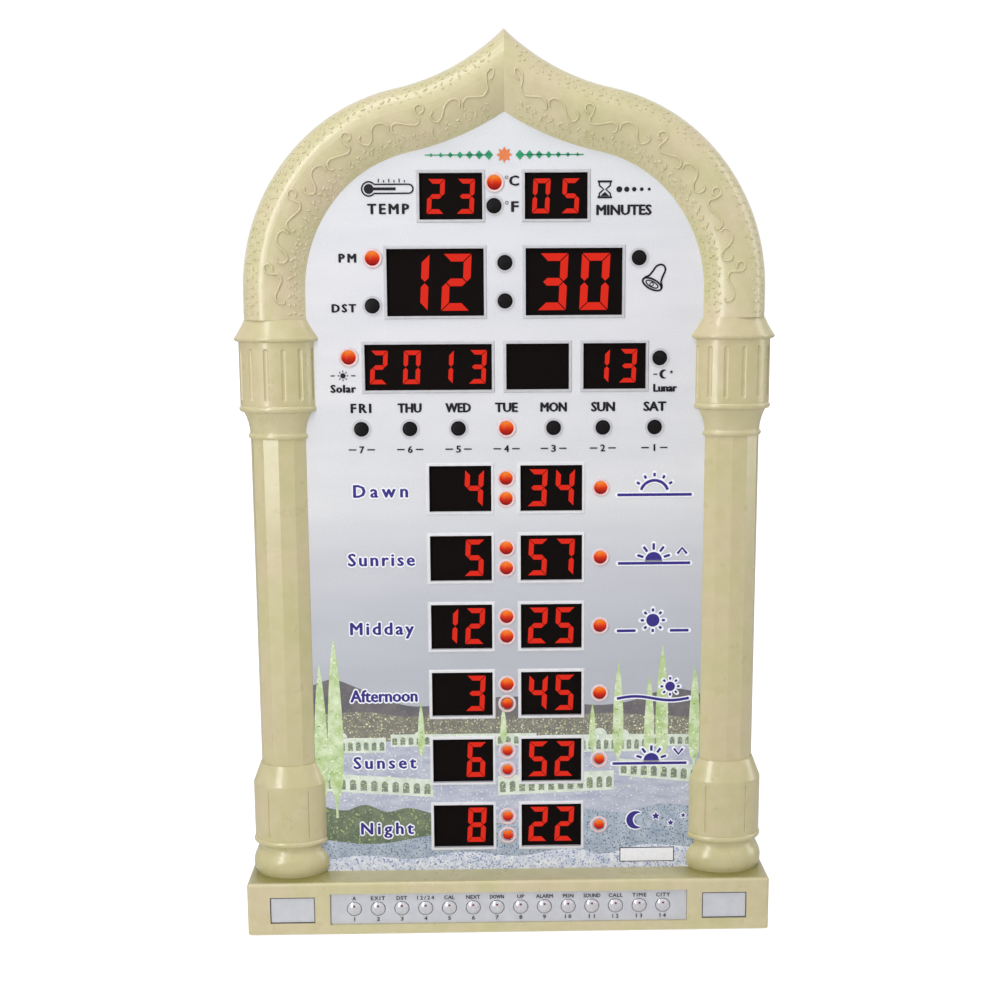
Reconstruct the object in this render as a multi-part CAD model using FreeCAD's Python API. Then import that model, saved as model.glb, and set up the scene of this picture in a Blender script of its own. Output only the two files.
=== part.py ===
# Arch-shaped digital clock: a base with keys, two half columns and a pointed arch round a flat dial,
# with numeric displays and lamps on a board behind the dial and a loudspeaker in the rear cover.
# Millimetres. +Z is up, the dial faces -Y, and the origin is below the middle, on the standing surface.

import FreeCAD
import Part
import math
import os

V = FreeCAD.Vector
LEFT_AND_RIGHT = (-1, 1)

# Depth planes, from the front to the back
base_front_y = -27.0
panel_face_y = -26.0
dial_face_y = -15.0
side_plane_y = -11.0
parting_y = 9.0
back_y = 27.0

# Housing
wall = 2.5
base_half_width = 107.3
base_height = 22.8
foot_height = 0.6
arch_half_width = 102.6
arch_spring_z = 261.9
shoulder_r = 80.4
shoulder_turn = math.radians(39.7)
crown_r = 75.3
crown_turn = math.radians(38.3)
ogee_r = 86.2
band_width = 24.7
band_crest_in = 9.8
arch_foot_z = 251.0
leg_half_width = 101.1

# Columns: turned about one axis and then flattened to a low relief
column_x = 89.7
flatten = 0.72
shaft_r = 11.9
pedestal_r = 15.5
drum_r = 15.5
shaft_sides = 12
flute_count = 14

# Dial, board and how deep the display modules stand between them
dial_thick = 1.2
dial_under_lip = 2.3
lip_gap = 0.2
module_depth = 7.0
board_thick = 1.6
board_inset = 30.0
module_face_y = dial_face_y + dial_thick
board_front_y = module_face_y + module_depth
board_back_y = board_front_y + board_thick

# Display windows: name, centre x, centre z, width, height, figures, figure height
small_digit = 13.2
row_digit = 14.9
large_digit = 22.0
top_windows = (
    ("temperature_display", -20.8, 298.0, 24.4, 17.7, "23", small_digit),
    ("countdown_display", 20.0, 298.0, 24.4, 17.7, "05", small_digit),
    ("hour_display", -27.2, 265.1, 37.9, 26.0, "12", large_digit),
    ("minute_display", 27.0, 265.1, 37.9, 26.0, "30", large_digit),
    ("year_display", -30.4, 232.1, 50.1, 18.1, "2013", small_digit),
    ("month_display", 12.7, 232.1, 24.8, 18.1, "", small_digit),
    ("day_display", 43.1, 232.1, 24.8, 18.1, "13", small_digit),
)
row_times = (" 434", " 557", "1225", " 345", " 652", " 822")
row_top_z = 183.6
row_pitch = 28.36
row_window = (24.8, 18.6)
row_window_x = (-18.3, 18.1)
digit_pitch = {
    "temperature_display": 11.6, "countdown_display": 11.4, "hour_display": 16.4, "minute_display": 16.4,
    "year_display": 13.0, "month_display": 10.8, "day_display": 10.8, "row_displays": 10.9,
}
digit_width_ratio = 0.505
digit_slant = 0.05
segment_ratio = 0.135
segment_proud = 0.15
frame_wide = 1.2
frame_proud = 0.5
frame_bevel = 0.4

# Lamps
lamp_r = 2.9
row_lamp_r = 2.65
lamp_gap = 0.1
lamp_proud = 1.0
ring_width = 0.9
ring_proud = 0.3
weekday_z = 207.8
weekday_x = (-57.2, -38.0, -18.8, 0.3, 19.0, 38.6, 59.2)
lit_weekday = 3
lit_mode_lamps = ((-3.9, 303.1), (-51.5, 274.5), (-61.6, 236.2))
dark_mode_lamps = ((-4.1, 294.3), (-51.9, 256.2), (52.4, 274.2), (60.9, 235.2))
hour_colon = ((0.0, 272.6), (0.0, 257.8))
row_colon_half = 4.1
row_marker_x = 37.9

# Keys along the base
key_count = 14
key_pitch = 9.77
key_z = 11.0
key_r = 2.8
key_gap = 0.3
key_travel = 0.6
key_panel_half = 73.35
key_panel_z = (4.4, 17.9)
key_panel_thick = 1.0
key_wall = 3.0
plate_x = 88.7
plate_size = (18.4, 11.3)
plate_face_y = -26.5
plate_thick = 0.8
switch_side = 6.0
switch_depth = 3.4
key_board_y = -17.0


def box(x0, x1, y0, y1, z0, z1):
    return Part.makeBox(x1 - x0, y1 - y0, z1 - z0, V(x0, y0, z0))


def rod(x, z, r, y0, y1):
    """A round bar along Y."""
    return Part.makeCylinder(r, y1 - y0, V(x, y0, z), V(0, 1, 0))


def fuse(shapes):
    first, rest = shapes[0], shapes[1:]
    return first.fuse(rest).removeSplitter() if rest else first


def save(name, shapes):
    shapes = shapes if isinstance(shapes, list) else [shapes]
    solids = [solid for shape in shapes for solid in shape.Solids]
    for solid in solids:
        if not solid.isValid() or solid.Volume <= 0:
            print("check", name, solid.Volume)
    part = solids[0] if len(solids) == 1 else Part.makeCompound(solids)
    part.exportStep("parts/" + name + ".step")
    print(name, len(solids), "solids,", round(sum(solid.Volume for solid in solids)), "mm3")


def polar(centre, r, angle):
    return (centre[0] + r * math.cos(angle), centre[1] + r * math.sin(angle))


# The arch outline is three tangent arcs on each side. An inset of 0 is the silhouette.
shoulder_c = (arch_half_width - shoulder_r, arch_spring_z)
crown_c = polar(shoulder_c, shoulder_r - crown_r, shoulder_turn)
ogee_c = polar(crown_c, crown_r + ogee_r, shoulder_turn + crown_turn)


def ogee_end(inset):
    """The angle at which the ogee arc meets the middle plane."""
    return math.pi + math.acos(ogee_c[0] / (ogee_r + inset))


def right_arcs(inset):
    """Start, middle and end points of the three arcs of the right half, upwards."""
    turned = shoulder_turn + crown_turn
    spans = (
        (shoulder_c, shoulder_r - inset, 0.0, shoulder_turn),
        (crown_c, crown_r - inset, shoulder_turn, turned),
        (ogee_c, ogee_r + inset, turned + math.pi, ogee_end(inset)),
    )
    return [[polar(c, r, a), polar(c, r, (a + b) / 2), polar(c, r, b)] for c, r, a, b in spans]


def outline(inset, foot_z, y0, y1, leg=None):
    """The arch shape as a slab from y0 to y1, with straight legs down to foot_z."""
    leg_x = arch_half_width - inset if leg is None else leg
    right = right_arcs(inset)
    left = [[(-x, z) for x, z in reversed(arc)] for arc in reversed(right)]
    edges = []
    for arc in right + left:
        edges.append(Part.Arc(*[V(x, y0, z) for x, z in arc]).toShape())
    top_x = arch_half_width - inset
    corners = [(-top_x, arch_spring_z), (-top_x, arch_foot_z), (-leg_x, arch_foot_z), (-leg_x, foot_z)]
    corners += [(-x, z) for x, z in reversed(corners)]
    for start, end in zip(corners, corners[1:]):
        if start != end:
            edges.append(Part.makeLine(V(start[0], y0, start[1]), V(end[0], y0, end[1])))
    face = Part.Face(Part.Wire(Part.__sortEdges__(edges)))
    return face.extrude(V(0, y1 - y0, 0))


def band_section():
    """The arch's hollow band, cut across at the spring line: a round shoulder and a long inner slope."""
    x0 = arch_half_width
    z = arch_spring_z
    crest_y = side_plane_y - band_crest_in
    slope = band_width - band_crest_in
    drop = dial_face_y - crest_y
    slope_r = (slope ** 2 + drop ** 2) / (2 * drop)
    half = math.asin(slope / slope_r) / 2
    crest_x = x0 - band_crest_in
    inner_x = x0 - band_width
    knee = band_crest_in * (1 - math.sqrt(0.5))
    inner_r = band_crest_in - wall
    inner_knee = wall + inner_r * (1 - math.sqrt(0.5))
    seat_x = inner_x + dial_under_lip + lip_gap
    edges = [
        Part.makeLine(V(x0, parting_y, z), V(x0, side_plane_y, z)),
        Part.Arc(V(x0, side_plane_y, z), V(x0 - knee, side_plane_y - band_crest_in + knee, z),
                 V(crest_x, crest_y, z)).toShape(),
        Part.Arc(V(crest_x, crest_y, z),
                 V(crest_x - slope_r * math.sin(half), crest_y + slope_r * (1 - math.cos(half)), z),
                 V(inner_x, dial_face_y, z)).toShape(),
        Part.makeLine(V(inner_x, dial_face_y, z), V(seat_x, dial_face_y, z)),
        Part.makeLine(V(seat_x, dial_face_y, z), V(seat_x, dial_face_y + wall, z)),
        Part.makeLine(V(seat_x, dial_face_y + wall, z), V(seat_x + wall, dial_face_y + wall, z)),
        Part.makeLine(V(seat_x + wall, dial_face_y + wall, z), V(crest_x, crest_y + wall, z)),
        Part.Arc(V(crest_x, crest_y + wall, z),
                 V(x0 - inner_knee, crest_y + inner_knee, z),
                 V(x0 - wall, side_plane_y, z)).toShape(),
        Part.makeLine(V(x0 - wall, side_plane_y, z), V(x0 - wall, parting_y, z)),
        Part.makeLine(V(x0 - wall, parting_y, z), V(x0, parting_y, z)),
    ]
    return Part.Face(Part.Wire(edges))


def turn_about(shape, centre, angle):
    turned = shape.copy()
    turned.rotate(V(centre[0], 0, centre[1]), V(0, -1, 0), math.degrees(angle))
    return turned


def make_arch():
    first = band_section()
    second = turn_about(first, shoulder_c, shoulder_turn)
    third = turn_about(second, crown_c, crown_turn)
    ogee_turn = shoulder_turn + crown_turn + math.pi - ogee_end(0)
    up, down = V(0, -1, 0), V(0, 1, 0)
    half = fuse([
        first.extrude(V(0, 0, arch_foot_z - arch_spring_z)),
        first.revolve(V(shoulder_c[0], 0, shoulder_c[1]), up, math.degrees(shoulder_turn)),
        second.revolve(V(crown_c[0], 0, crown_c[1]), up, math.degrees(crown_turn)),
        third.revolve(V(ogee_c[0], 0, ogee_c[1]), down, math.degrees(ogee_turn)),
    ])
    half = half.common(box(0, 120, -30, 30, 240, 380))
    posts = []
    for angle in (0.35 * shoulder_turn, shoulder_turn + 0.6 * crown_turn):
        centre, r = (shoulder_c, shoulder_r) if angle < shoulder_turn else (crown_c, crown_r)
        x, z = polar(centre, r - band_crest_in, angle)
        posts.append(rod(x, z, post_r, post_front_y, post_back_y).cut(rod(x, z, pilot_r, pilot_y, back_y)))
        cover_screw_places.append((x, z))
    half = fuse([half] + posts)
    return half.fuse(half.mirror(V(0, 0, 0), V(1, 0, 0))).removeSplitter()


# Screw posts inside the arch and the columns, which the rear cover screws into
post_r = 3.6
pilot_r = 1.3
post_front_y = side_plane_y - band_crest_in + wall - 0.5
post_back_y = back_y - wall - 2.0
pilot_y = post_back_y - 14.0
cover_screw_places = []
column_screw_z = (62.0, 172.0)


def lathe(profile):
    """A solid turned about the Z axis from (radius, height) points; three-point entries are arcs."""
    edges = []
    last = (0.0, profile[0][1])
    for item in profile:
        if len(item) == 2:
            edges.append(Part.makeLine(V(last[0], 0, last[1]), V(item[0], 0, item[1])))
            last = item
        else:
            mid, end = item[0:2], item[2:4]
            edges.append(Part.Arc(V(last[0], 0, last[1]), V(mid[0], 0, mid[1]), V(end[0], 0, end[1])).toShape())
            last = end
    edges.append(Part.makeLine(V(last[0], 0, last[1]), V(0, 0, last[1])))
    edges.append(Part.makeLine(V(0, 0, last[1]), V(0, 0, profile[0][1])))
    return Part.Face(Part.Wire(edges)).revolve(V(0, 0, 0), V(0, 0, 1), 360)


foot_top_z = 70.0
neck_ring_z = 204.3
foot_profile = [
    (15.3, base_height), (16.4, 27.0, 13.9, 32.9), (13.5, 34.3, 14.5, 35.5),
    (15.0, 35.6), (16.0, 36.9, 15.3, 38.1), (pedestal_r, 38.4), (pedestal_r, 61.6), (shaft_r + 0.4, foot_top_z),
]
capital_profile = [
    (shaft_r + 0.2, neck_ring_z), (shaft_r + 0.8, 205.4, shaft_r + 0.2, 206.4),
    (shaft_r + 0.1, 206.8), (12.7, 211.0, 14.2, 214.8),
    (15.0, 215.0), (16.0, 216.2, 15.4, 217.4), (drum_r, 217.7), (drum_r, 242.4),
    (16.6, 242.8), (17.2, 243.6, 16.9, 244.4), (14.9, 247.6, 13.2, arch_foot_z),
]


def ring_of(count, offset=0.0):
    return [2 * math.pi * (i + offset) / count for i in range(count)]


def make_shaft():
    corner = [V(shaft_r * math.sin(a), -shaft_r * math.cos(a), foot_top_z) for a in ring_of(shaft_sides)]
    face = Part.Face(Part.makePolygon(corner + corner[:1]))
    return face.extrude(V(0, 0, neck_ring_z - foot_top_z))


def cut_flutes(capital):
    """Narrow round-ended grooves between broad flats, all round the drum."""
    flute_r = 1.2
    flute_deep = 0.75
    low_z, high_z = 220.6, 239.0
    for a in ring_of(flute_count, 0.5):
        reach = drum_r + flute_r - flute_deep
        place = V(reach * math.sin(a), -reach * math.cos(a), low_z)
        top = place + V(0, 0, high_z - low_z)
        if place.y > 0:
            continue
        cutter = Part.makeCylinder(flute_r, high_z - low_z, place)
        capital = capital.cut([cutter, Part.makeSphere(flute_r, place), Part.makeSphere(flute_r, top)])
    return capital


def cut_pedestal(foot):
    """Two narrow grooves on each side of the front, which leave a raised panel between them."""
    groove_r = 0.5
    low_z, high_z = 40.0, 59.9
    for angle in (-78, -32, 32, 78):
        a = math.radians(angle)
        place = V(pedestal_r * math.sin(a), -pedestal_r * math.cos(a), low_z)
        foot = foot.cut(Part.makeCylinder(groove_r, high_z - low_z, place))
    return foot


def side_outline(profile, inner):
    """The same outline as a flat slab that runs straight back to the parting line."""
    points = []
    last = None
    for item in profile:
        if len(item) == 2:
            points.append([V(item[0], 0, item[1])])
            last = item
        else:
            points.append([V(last[0], 0, last[1]), V(item[0], 0, item[1]), V(item[2], 0, item[3])])
            last = item[2:4]
    edges = []
    at = None
    for group in points:
        if len(group) == 1:
            if at is not None and (at - group[0]).Length > 1e-6:
                edges.append(Part.makeLine(at, group[0]))
            at = group[0]
        else:
            edges.append(Part.Arc(*group).toShape())
            at = group[2]
    start = edges[0].Vertexes[0].Point
    low, high = V(inner, 0, start.z), V(inner, 0, at.z)
    edges += [Part.makeLine(at, high), Part.makeLine(high, low), Part.makeLine(low, start)]
    return Part.Face(Part.Wire(edges)).extrude(V(0, parting_y - side_plane_y, 0))


def make_column():
    """The right column: a low half-round front, its side wall, and two posts for screws."""
    foot = cut_pedestal(lathe(foot_profile))
    capital = cut_flutes(lathe(capital_profile))
    front_half = box(-30, 30, -30, 0, 0, 300)
    squash = FreeCAD.Matrix()
    squash.A22 = flatten
    pieces = [shape.common(front_half).transformGeometry(squash) for shape in (foot, make_shaft(), capital)]
    column = pieces[0].fuse(pieces[1:])
    hollow_half = shaft_r - wall
    hollow = Part.makeCylinder(hollow_half, arch_foot_z - base_height).transformGeometry(squash)
    column = column.cut(hollow.translated(V(0, 0, base_height)))
    shaft_side = box(hollow_half, shaft_r, 0, parting_y - side_plane_y, foot_top_z, neck_ring_z)
    sides = [side_outline(foot_profile, hollow_half), shaft_side, side_outline(capital_profile, hollow_half)]
    column = column.fuse(sides)
    column.translate(V(column_x, side_plane_y, 0))
    dial_edge_x = arch_half_width - band_width + dial_under_lip + lip_gap
    column = column.cut(box(column_x - 30, dial_edge_x, dial_face_y, 0, 0, 300))
    posts = []
    for z in column_screw_z:
        post = rod(column_x, z, post_r, side_plane_y - (shaft_r - wall) * flatten - 0.5, post_back_y)
        posts.append(post.cut(rod(column_x, z, pilot_r, pilot_y, back_y)))
        cover_screw_places.append((column_x, z))
    return column.fuse(posts)


def mirror_x(shape):
    return shape.mirror(V(0, 0, 0), V(1, 0, 0))


# Base
edge_round = 1.6
base_inside_z = base_height - wall
bottom_plate_thick = 1.6
bottom_plate_z = 2.4
jack_place = (62.0, 11.5)
jack_r = 4.1
slot_count = 9
key_xs = [(i - (key_count - 1) / 2) * key_pitch for i in range(key_count)]


def make_base():
    shell = box(-base_half_width, base_half_width, base_front_y, back_y, foot_height, base_height)
    upper = [e for e in shell.Edges if max(v.Z for v in e.Vertexes) > base_height - 0.1]
    shell = shell.makeFillet(edge_round, upper)
    inside = box(-base_half_width + wall, base_half_width - wall, base_front_y + key_wall, back_y - wall,
                 0, base_inside_z)
    shell = shell.cut(inside)
    cuts = [box(-key_panel_half, key_panel_half, base_front_y - 1, panel_face_y + key_panel_thick, *key_panel_z)]
    half_w, half_h = plate_size[0] / 2, plate_size[1] / 2
    for side in LEFT_AND_RIGHT:
        x = side * plate_x
        cuts.append(box(x - half_w, x + half_w, base_front_y - 1, plate_face_y + plate_thick,
                        key_z - half_h, key_z + half_h))
    cuts += [rod(x, key_z, key_r + key_gap, base_front_y, base_front_y + key_wall + 1) for x in key_xs]
    cuts.append(rod(jack_place[0], jack_place[1], jack_r, back_y - wall - 1, back_y + 1))
    cuts.append(box(-30, 30, board_back_y + 1, parting_y + 6, base_inside_z - 1, base_height + 1))
    shell = shell.cut(cuts)
    bosses = []
    for x, y in bottom_screw_places:
        boss = Part.makeCylinder(3.4, base_inside_z - bottom_plate_z - bottom_plate_thick + 0.5,
                                 V(x, y, bottom_plate_z + bottom_plate_thick))
        bosses.append(boss.cut(Part.makeCylinder(pilot_r, 12, V(x, y, bottom_plate_z))))
    return fuse([shell] + bosses)


bottom_screw_places = [(x, y) for x in (-96.0, 96.0) for y in (-15.0, 16.0)]
foot_places = [(x, y) for x in (-80.0, 80.0) for y in (-17.0, 18.0)]
foot_r = 6.0
head_r = 2.9
head_thick = 1.7
screw_r = 1.45


def make_bottom_plate():
    gap = 0.3
    plate = box(-base_half_width + wall + gap, base_half_width - wall - gap,
                base_front_y + key_wall + gap, back_y - wall - gap,
                bottom_plate_z, bottom_plate_z + bottom_plate_thick)
    return plate.cut([Part.makeCylinder(1.8, 10, V(x, y, 0)) for x, y in bottom_screw_places])


def screw(place, direction, length):
    """A pan-head screw with a cross slot: its head sits on place and its shank points along direction."""
    top = place - direction * head_thick
    body = Part.makeCylinder(head_r, head_thick, top, direction)
    body = body.fuse(Part.makeCylinder(pilot_r - 0.05, length, place, direction)).removeSplitter()
    slot_long, slot_wide, slot_deep = 3.4, 0.8, 0.9
    for a, b in ((slot_long, slot_wide), (slot_wide, slot_long)):
        cutter = Part.makeBox(a, b, 2 * slot_deep, V(-a / 2, -b / 2, -slot_deep))
        cutter.Placement = FreeCAD.Placement(top, FreeCAD.Rotation(V(0, 0, 1), direction)) * cutter.Placement
        body = body.cut(cutter)
    return body


# Rear cover
hang_spacing = 100.0
hang_z = 296.0
hang_head_r = 4.5
hang_slot_r = 2.2
hang_slot_rise = 9.0
speaker_place = (0.0, 120.0)
speaker_r = 28.5
grille_slot_wide = 2.4
vent_z = 215.0
cover_gap = 0.15


def slot(x, z0, z1, r, y0, y1):
    """A round-ended upright slot as a cutter along Y."""
    return rod(x, z0, r, y0, y1).fuse([rod(x, z1, r, y0, y1), box(x - r, x + r, y0, y1, z0, z1)])


def make_rear_cover():
    foot_z = base_height + cover_gap
    front_y = parting_y + cover_gap
    rim = 3.0
    cover = outline(0, foot_z, front_y, back_y - rim, leg_half_width)
    cover = cover.fuse(outline(rim / 2, foot_z, back_y - rim, back_y - rim / 3, leg_half_width - rim / 2))
    cover = cover.fuse(outline(rim, foot_z, back_y - rim / 3, back_y, leg_half_width - rim)).removeSplitter()
    cover = cover.cut(outline(wall + rim / 2, foot_z + wall, front_y - 1, back_y - wall, leg_half_width - wall - rim / 2))
    y0, y1 = back_y - wall - 1, back_y + 1
    cuts = []
    for side in LEFT_AND_RIGHT:
        x = side * hang_spacing / 2
        cuts.append(rod(x, hang_z, hang_head_r, y0, y1))
        cuts.append(slot(x, hang_z, hang_z + hang_slot_rise, hang_slot_r, y0, y1))
    sx, sz = speaker_place
    for i in range(slot_count):
        dx = (i - (slot_count - 1) / 2) * 5.4
        half = math.sqrt((speaker_r - 4) ** 2 - dx ** 2) - grille_slot_wide / 2
        cuts.append(slot(sx + dx, sz - half, sz + half, grille_slot_wide / 2, y0, y1))
    for i in range(12):
        cuts.append(slot((i - 5.5) * 9.0, vent_z - 9, vent_z + 9, 1.3, y0, y1))
    for x, z in cover_screw_places:
        cuts += [rod(side * x, z, 1.7, y0, y1) for side in LEFT_AND_RIGHT]
        cuts += [rod(side * x, z, head_r + 0.5, back_y - head_thick - 0.4, y1) for side in LEFT_AND_RIGHT]
    cuts.append(box(-40, 40, front_y - 1, parting_y + 7, foot_z - 1, foot_z + wall + 1))
    return cover.cut(cuts)


# Dial and displays
windows = list(top_windows)
for row, figures in enumerate(row_times):
    row_z = row_top_z - row * row_pitch
    for column, x in enumerate(row_window_x):
        shown = figures[2 * column:2 * column + 2]
        windows.append(("row_displays", x, row_z, row_window[0], row_window[1], shown, row_digit))

row_zs = [row_top_z - row * row_pitch for row in range(len(row_times))]
row_colons = [(0.0, z + side * row_colon_half) for z in row_zs for side in LEFT_AND_RIGHT]
row_markers = [(row_marker_x, z) for z in row_zs]
weekdays = [(x, weekday_z) for x in weekday_x]
lit_lamps = list(lit_mode_lamps) + weekdays[lit_weekday:lit_weekday + 1]
dark_lamps = list(dark_mode_lamps) + list(hour_colon) + weekdays[:lit_weekday] + weekdays[lit_weekday + 1:]
lamp_groups = (
    ("lit_lamps", lit_lamps, lamp_r, lamp_proud),
    ("dark_lamps", dark_lamps, lamp_r, 0.0),
    ("row_colon_lamps", row_colons, row_lamp_r, lamp_proud),
    ("row_marker_lamps", row_markers, row_lamp_r, lamp_proud),
)
standoff_places = [(side * x, z) for side in LEFT_AND_RIGHT for x, z in ((66, 34), (66, 170), (66, 262))]


def make_dial():
    inset = band_width - dial_under_lip
    dial = outline(inset, base_height, dial_face_y, dial_face_y + dial_thick)
    y0, y1 = dial_face_y - 1, dial_face_y + dial_thick + 1
    cuts = [box(x - w / 2, x + w / 2, y0, y1, z - h / 2, z + h / 2) for _, x, z, w, h, _, _ in windows]
    for _, places, r, _ in lamp_groups:
        cuts += [rod(x, z, r + lamp_gap, y0, y1) for x, z in places]
    return dial.cut(cuts)


def make_window_frames():
    """Thin bevelled frames round the display windows."""
    frames = []
    around = ((-1, -1), (1, -1), (1, 1), (-1, 1), (-1, -1))
    for _, x, z, w, h, _, _ in windows:
        rings = []
        for y, out in ((dial_face_y, frame_wide), (dial_face_y - frame_proud, frame_wide - frame_bevel)):
            rings.append(Part.makePolygon([V(x + sx * (w / 2 + out), y, z + sz * (h / 2 + out)) for sx, sz in around]))
        block = Part.makeLoft(rings, True, True)
        frames.append(block.cut(box(x - w / 2, x + w / 2, -30, 0, z - h / 2, z + h / 2)))
    return frames


def make_lamp(x, z, r, proud):
    """A round-headed lamp from the board to the dial; a hidden one ends flush."""
    tip_y = dial_face_y - proud
    crown = 1.6 if proud else 0.3
    body = rod(x, z, r, tip_y + crown, board_front_y)
    ball_r = (r ** 2 + crown ** 2) / (2 * crown)
    ball = Part.makeSphere(ball_r, V(x, tip_y + ball_r, z))
    cap = ball.common(rod(x, z, r, tip_y - 1, tip_y + crown))
    return body.fuse(cap).removeSplitter()


def make_lamp_rings():
    """Flat rings round the lamps, trimmed where a window frame passes."""
    rings = []
    edge = frame_wide + lamp_gap
    frames = [box(x - w / 2 - edge, x + w / 2 + edge, -30, 0, z - h / 2 - edge, z + h / 2 + edge)
              for _, x, z, w, h, _, _ in windows]
    for _, places, r, _ in lamp_groups:
        for x, z in places:
            ring = rod(x, z, r + lamp_gap + ring_width, dial_face_y - ring_proud, dial_face_y)
            ring = ring.cut(rod(x, z, r + lamp_gap, -30, 0))
            rings.append(ring.cut([frame for frame in frames if frame.BoundBox.intersect(ring.BoundBox)]))
    return rings


def make_module(window):
    """A display block: its face rim stands behind the dial and its pins' base is on the board."""
    _, x, z, w, h, _, _ = window
    rim = 0.4
    return box(x - w / 2 - rim, x + w / 2 + rim, module_face_y, board_front_y, z - h / 2 - rim, z + h / 2 + rim)


# Seven-segment figures, as the strokes a to g that each figure lights
strokes = {
    "0": "abcdef", "1": "bc", "2": "abged", "3": "abgcd", "4": "fgbc",
    "5": "afgcd", "6": "afgedc", "7": "abc", "8": "abcdefg", "9": "abcdfg",
}


def stroke(kind, x, z, width, height, thick):
    """One bar of a figure, mitred at the corners and pointed at the middle, slanted with its figure."""
    gap = thick * 0.09
    half = thick / 2
    w, h = width / 2, height / 2
    if kind == "g":
        points = [(w - half - gap, 0), (w - thick - gap, half), (thick + gap - w, half),
                  (half + gap - w, 0), (thick + gap - w, -half), (w - thick - gap, -half)]
    elif kind in "ad":
        up = 1 if kind == "a" else -1
        points = [(gap - w, up * h), (w - gap, up * h),
                  (w - thick - gap, up * (h - thick)), (thick + gap - w, up * (h - thick))]
    else:
        out = -1 if kind in "ef" else 1
        up = 1 if kind in "bf" else -1
        points = [(out * w, up * (h - gap)), (out * (w - thick), up * (h - thick - gap)),
                  (out * (w - thick), up * (half + gap)), (out * (w - half), up * gap), (out * w, up * (half + gap))]
    y = module_face_y - segment_proud
    corners = [V(x + px + pz * digit_slant, y, z + pz) for px, pz in points]
    return Part.Face(Part.makePolygon(corners + corners[:1])).extrude(V(0, segment_proud, 0))


def make_figures():
    bars = []
    for name, x, z, _, _, figures, height in windows:
        pitch = digit_pitch[name]
        for i, figure in enumerate(figures):
            centre = x + (i - (len(figures) - 1) / 2) * pitch
            for kind in strokes.get(figure, ""):
                bars.append(stroke(kind, centre, z, height * digit_width_ratio, height, height * segment_ratio))
    return bars


# Main board and what it carries
def make_main_board():
    board = outline(board_inset, 27.0, board_front_y, board_back_y)
    holes = [rod(x, z, 1.7, -30, 30) for x, z in standoff_places]
    return board.cut(holes)


def make_standoffs():
    return [rod(x, z, 2.5, module_face_y, board_front_y).cut(rod(x, z, pilot_r, board_front_y - 5, 0))
            for x, z in standoff_places]


chip_y = board_back_y
chips = ((0, 200, 18, 12, 2.6), (-38, 150, 14, 8, 2.2), (38, 150, 14, 8, 2.2), (-38, 90, 14, 8, 2.2),
         (38, 90, 14, 8, 2.2), (0, 246, 10, 6, 2.0))
capacitors = ((-50, 48, 4.0, 9.0), (-40, 48, 3.2, 8.0), (50, 200, 4.0, 9.0))
cell_place = (45.0, 232.0)
cell_r = 10.0
cell_thick = 3.2
sensor_place = (-30.0, 305.0)
connector_places = ((-6.0, 40.0, 22.0), (34.0, 44.0, 8.0), (52.0, 44.0, 8.0))


def make_connectors():
    sockets = []
    for x, z, wide in connector_places:
        body = box(x - wide / 2, x + wide / 2, chip_y, chip_y + 5.0, z - 3, z + 3)
        sockets.append(body.cut(box(x - wide / 2 + 0.8, x + wide / 2 - 0.8, chip_y + 1, chip_y + 6, z - 3.5, z + 2)))
    return sockets


def make_cell_holder():
    x, z = cell_place
    holder = box(x - 12, x + 12, chip_y, chip_y + 5.2, z - 9, z + 9)
    return holder.cut(rod(x, z, cell_r + 0.2, chip_y + 1, chip_y + 8))


# Loudspeaker in the rear cover
basket_y = back_y - wall
magnet_y = basket_y - 14.0


def ring_disc(x, z, r_out, r_in, y0, y1):
    return rod(x, z, r_out, y0, y1).cut(rod(x, z, r_in, y0 - 1, y1 + 1))


def cone_along_y(r0, r1, y0, y1):
    sx, sz = speaker_place
    return Part.makeCone(r0, r1, y1 - y0, V(sx, y0, sz), V(0, 1, 0))


def make_basket():
    sx, sz = speaker_place
    thick = 0.8
    flange = ring_disc(sx, sz, speaker_r, speaker_r - 4, basket_y - thick, basket_y)
    bowl = cone_along_y(13, speaker_r - 3.2, basket_y - 9, basket_y - thick)
    bowl = bowl.cut(cone_along_y(13 - thick, speaker_r - 3.2 - thick, basket_y - 9, basket_y - thick))
    back = ring_disc(sx, sz, 13, 7, basket_y - 10, basket_y - 9)
    return fuse([flange, bowl, back])


def make_cone():
    outer = cone_along_y(6.5, speaker_r - 6, basket_y - 7.5, basket_y - 1.5)
    inner = cone_along_y(6.1, speaker_r - 6.6, basket_y - 7.5, basket_y - 1.5)
    return outer.cut(inner)


def make_dust_cap():
    sx, sz = speaker_place
    ball = Part.makeSphere(9, V(sx, basket_y - 13.5, sz))
    shell = ball.cut(Part.makeSphere(8.5, V(sx, basket_y - 13.5, sz)))
    return shell.common(rod(sx, sz, 5.8, basket_y - 7.4, basket_y))


# Cables inside
def strip(points, x0, x1, thick):
    """A flat cable through (y, z) points, as wide as x0 to x1."""
    parts = []
    for (ya, za), (yb, zb) in zip(points, points[1:]):
        along = V(0, yb - ya, zb - za)
        across = along.cross(V(1, 0, 0)).normalize() * (thick / 2)
        low, high = V(x0, ya, za), V(x0, yb, zb)
        edge = Part.makePolygon([low + across, high + across, high - across, low - across, low + across])
        parts.append(Part.Face(edge).extrude(V(x1 - x0, 0, 0)))
    for y, z in points[1:-1]:
        parts.append(Part.makeCylinder(thick / 2, x1 - x0, V(x0, y, z), V(1, 0, 0)))
    return fuse(parts)


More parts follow.
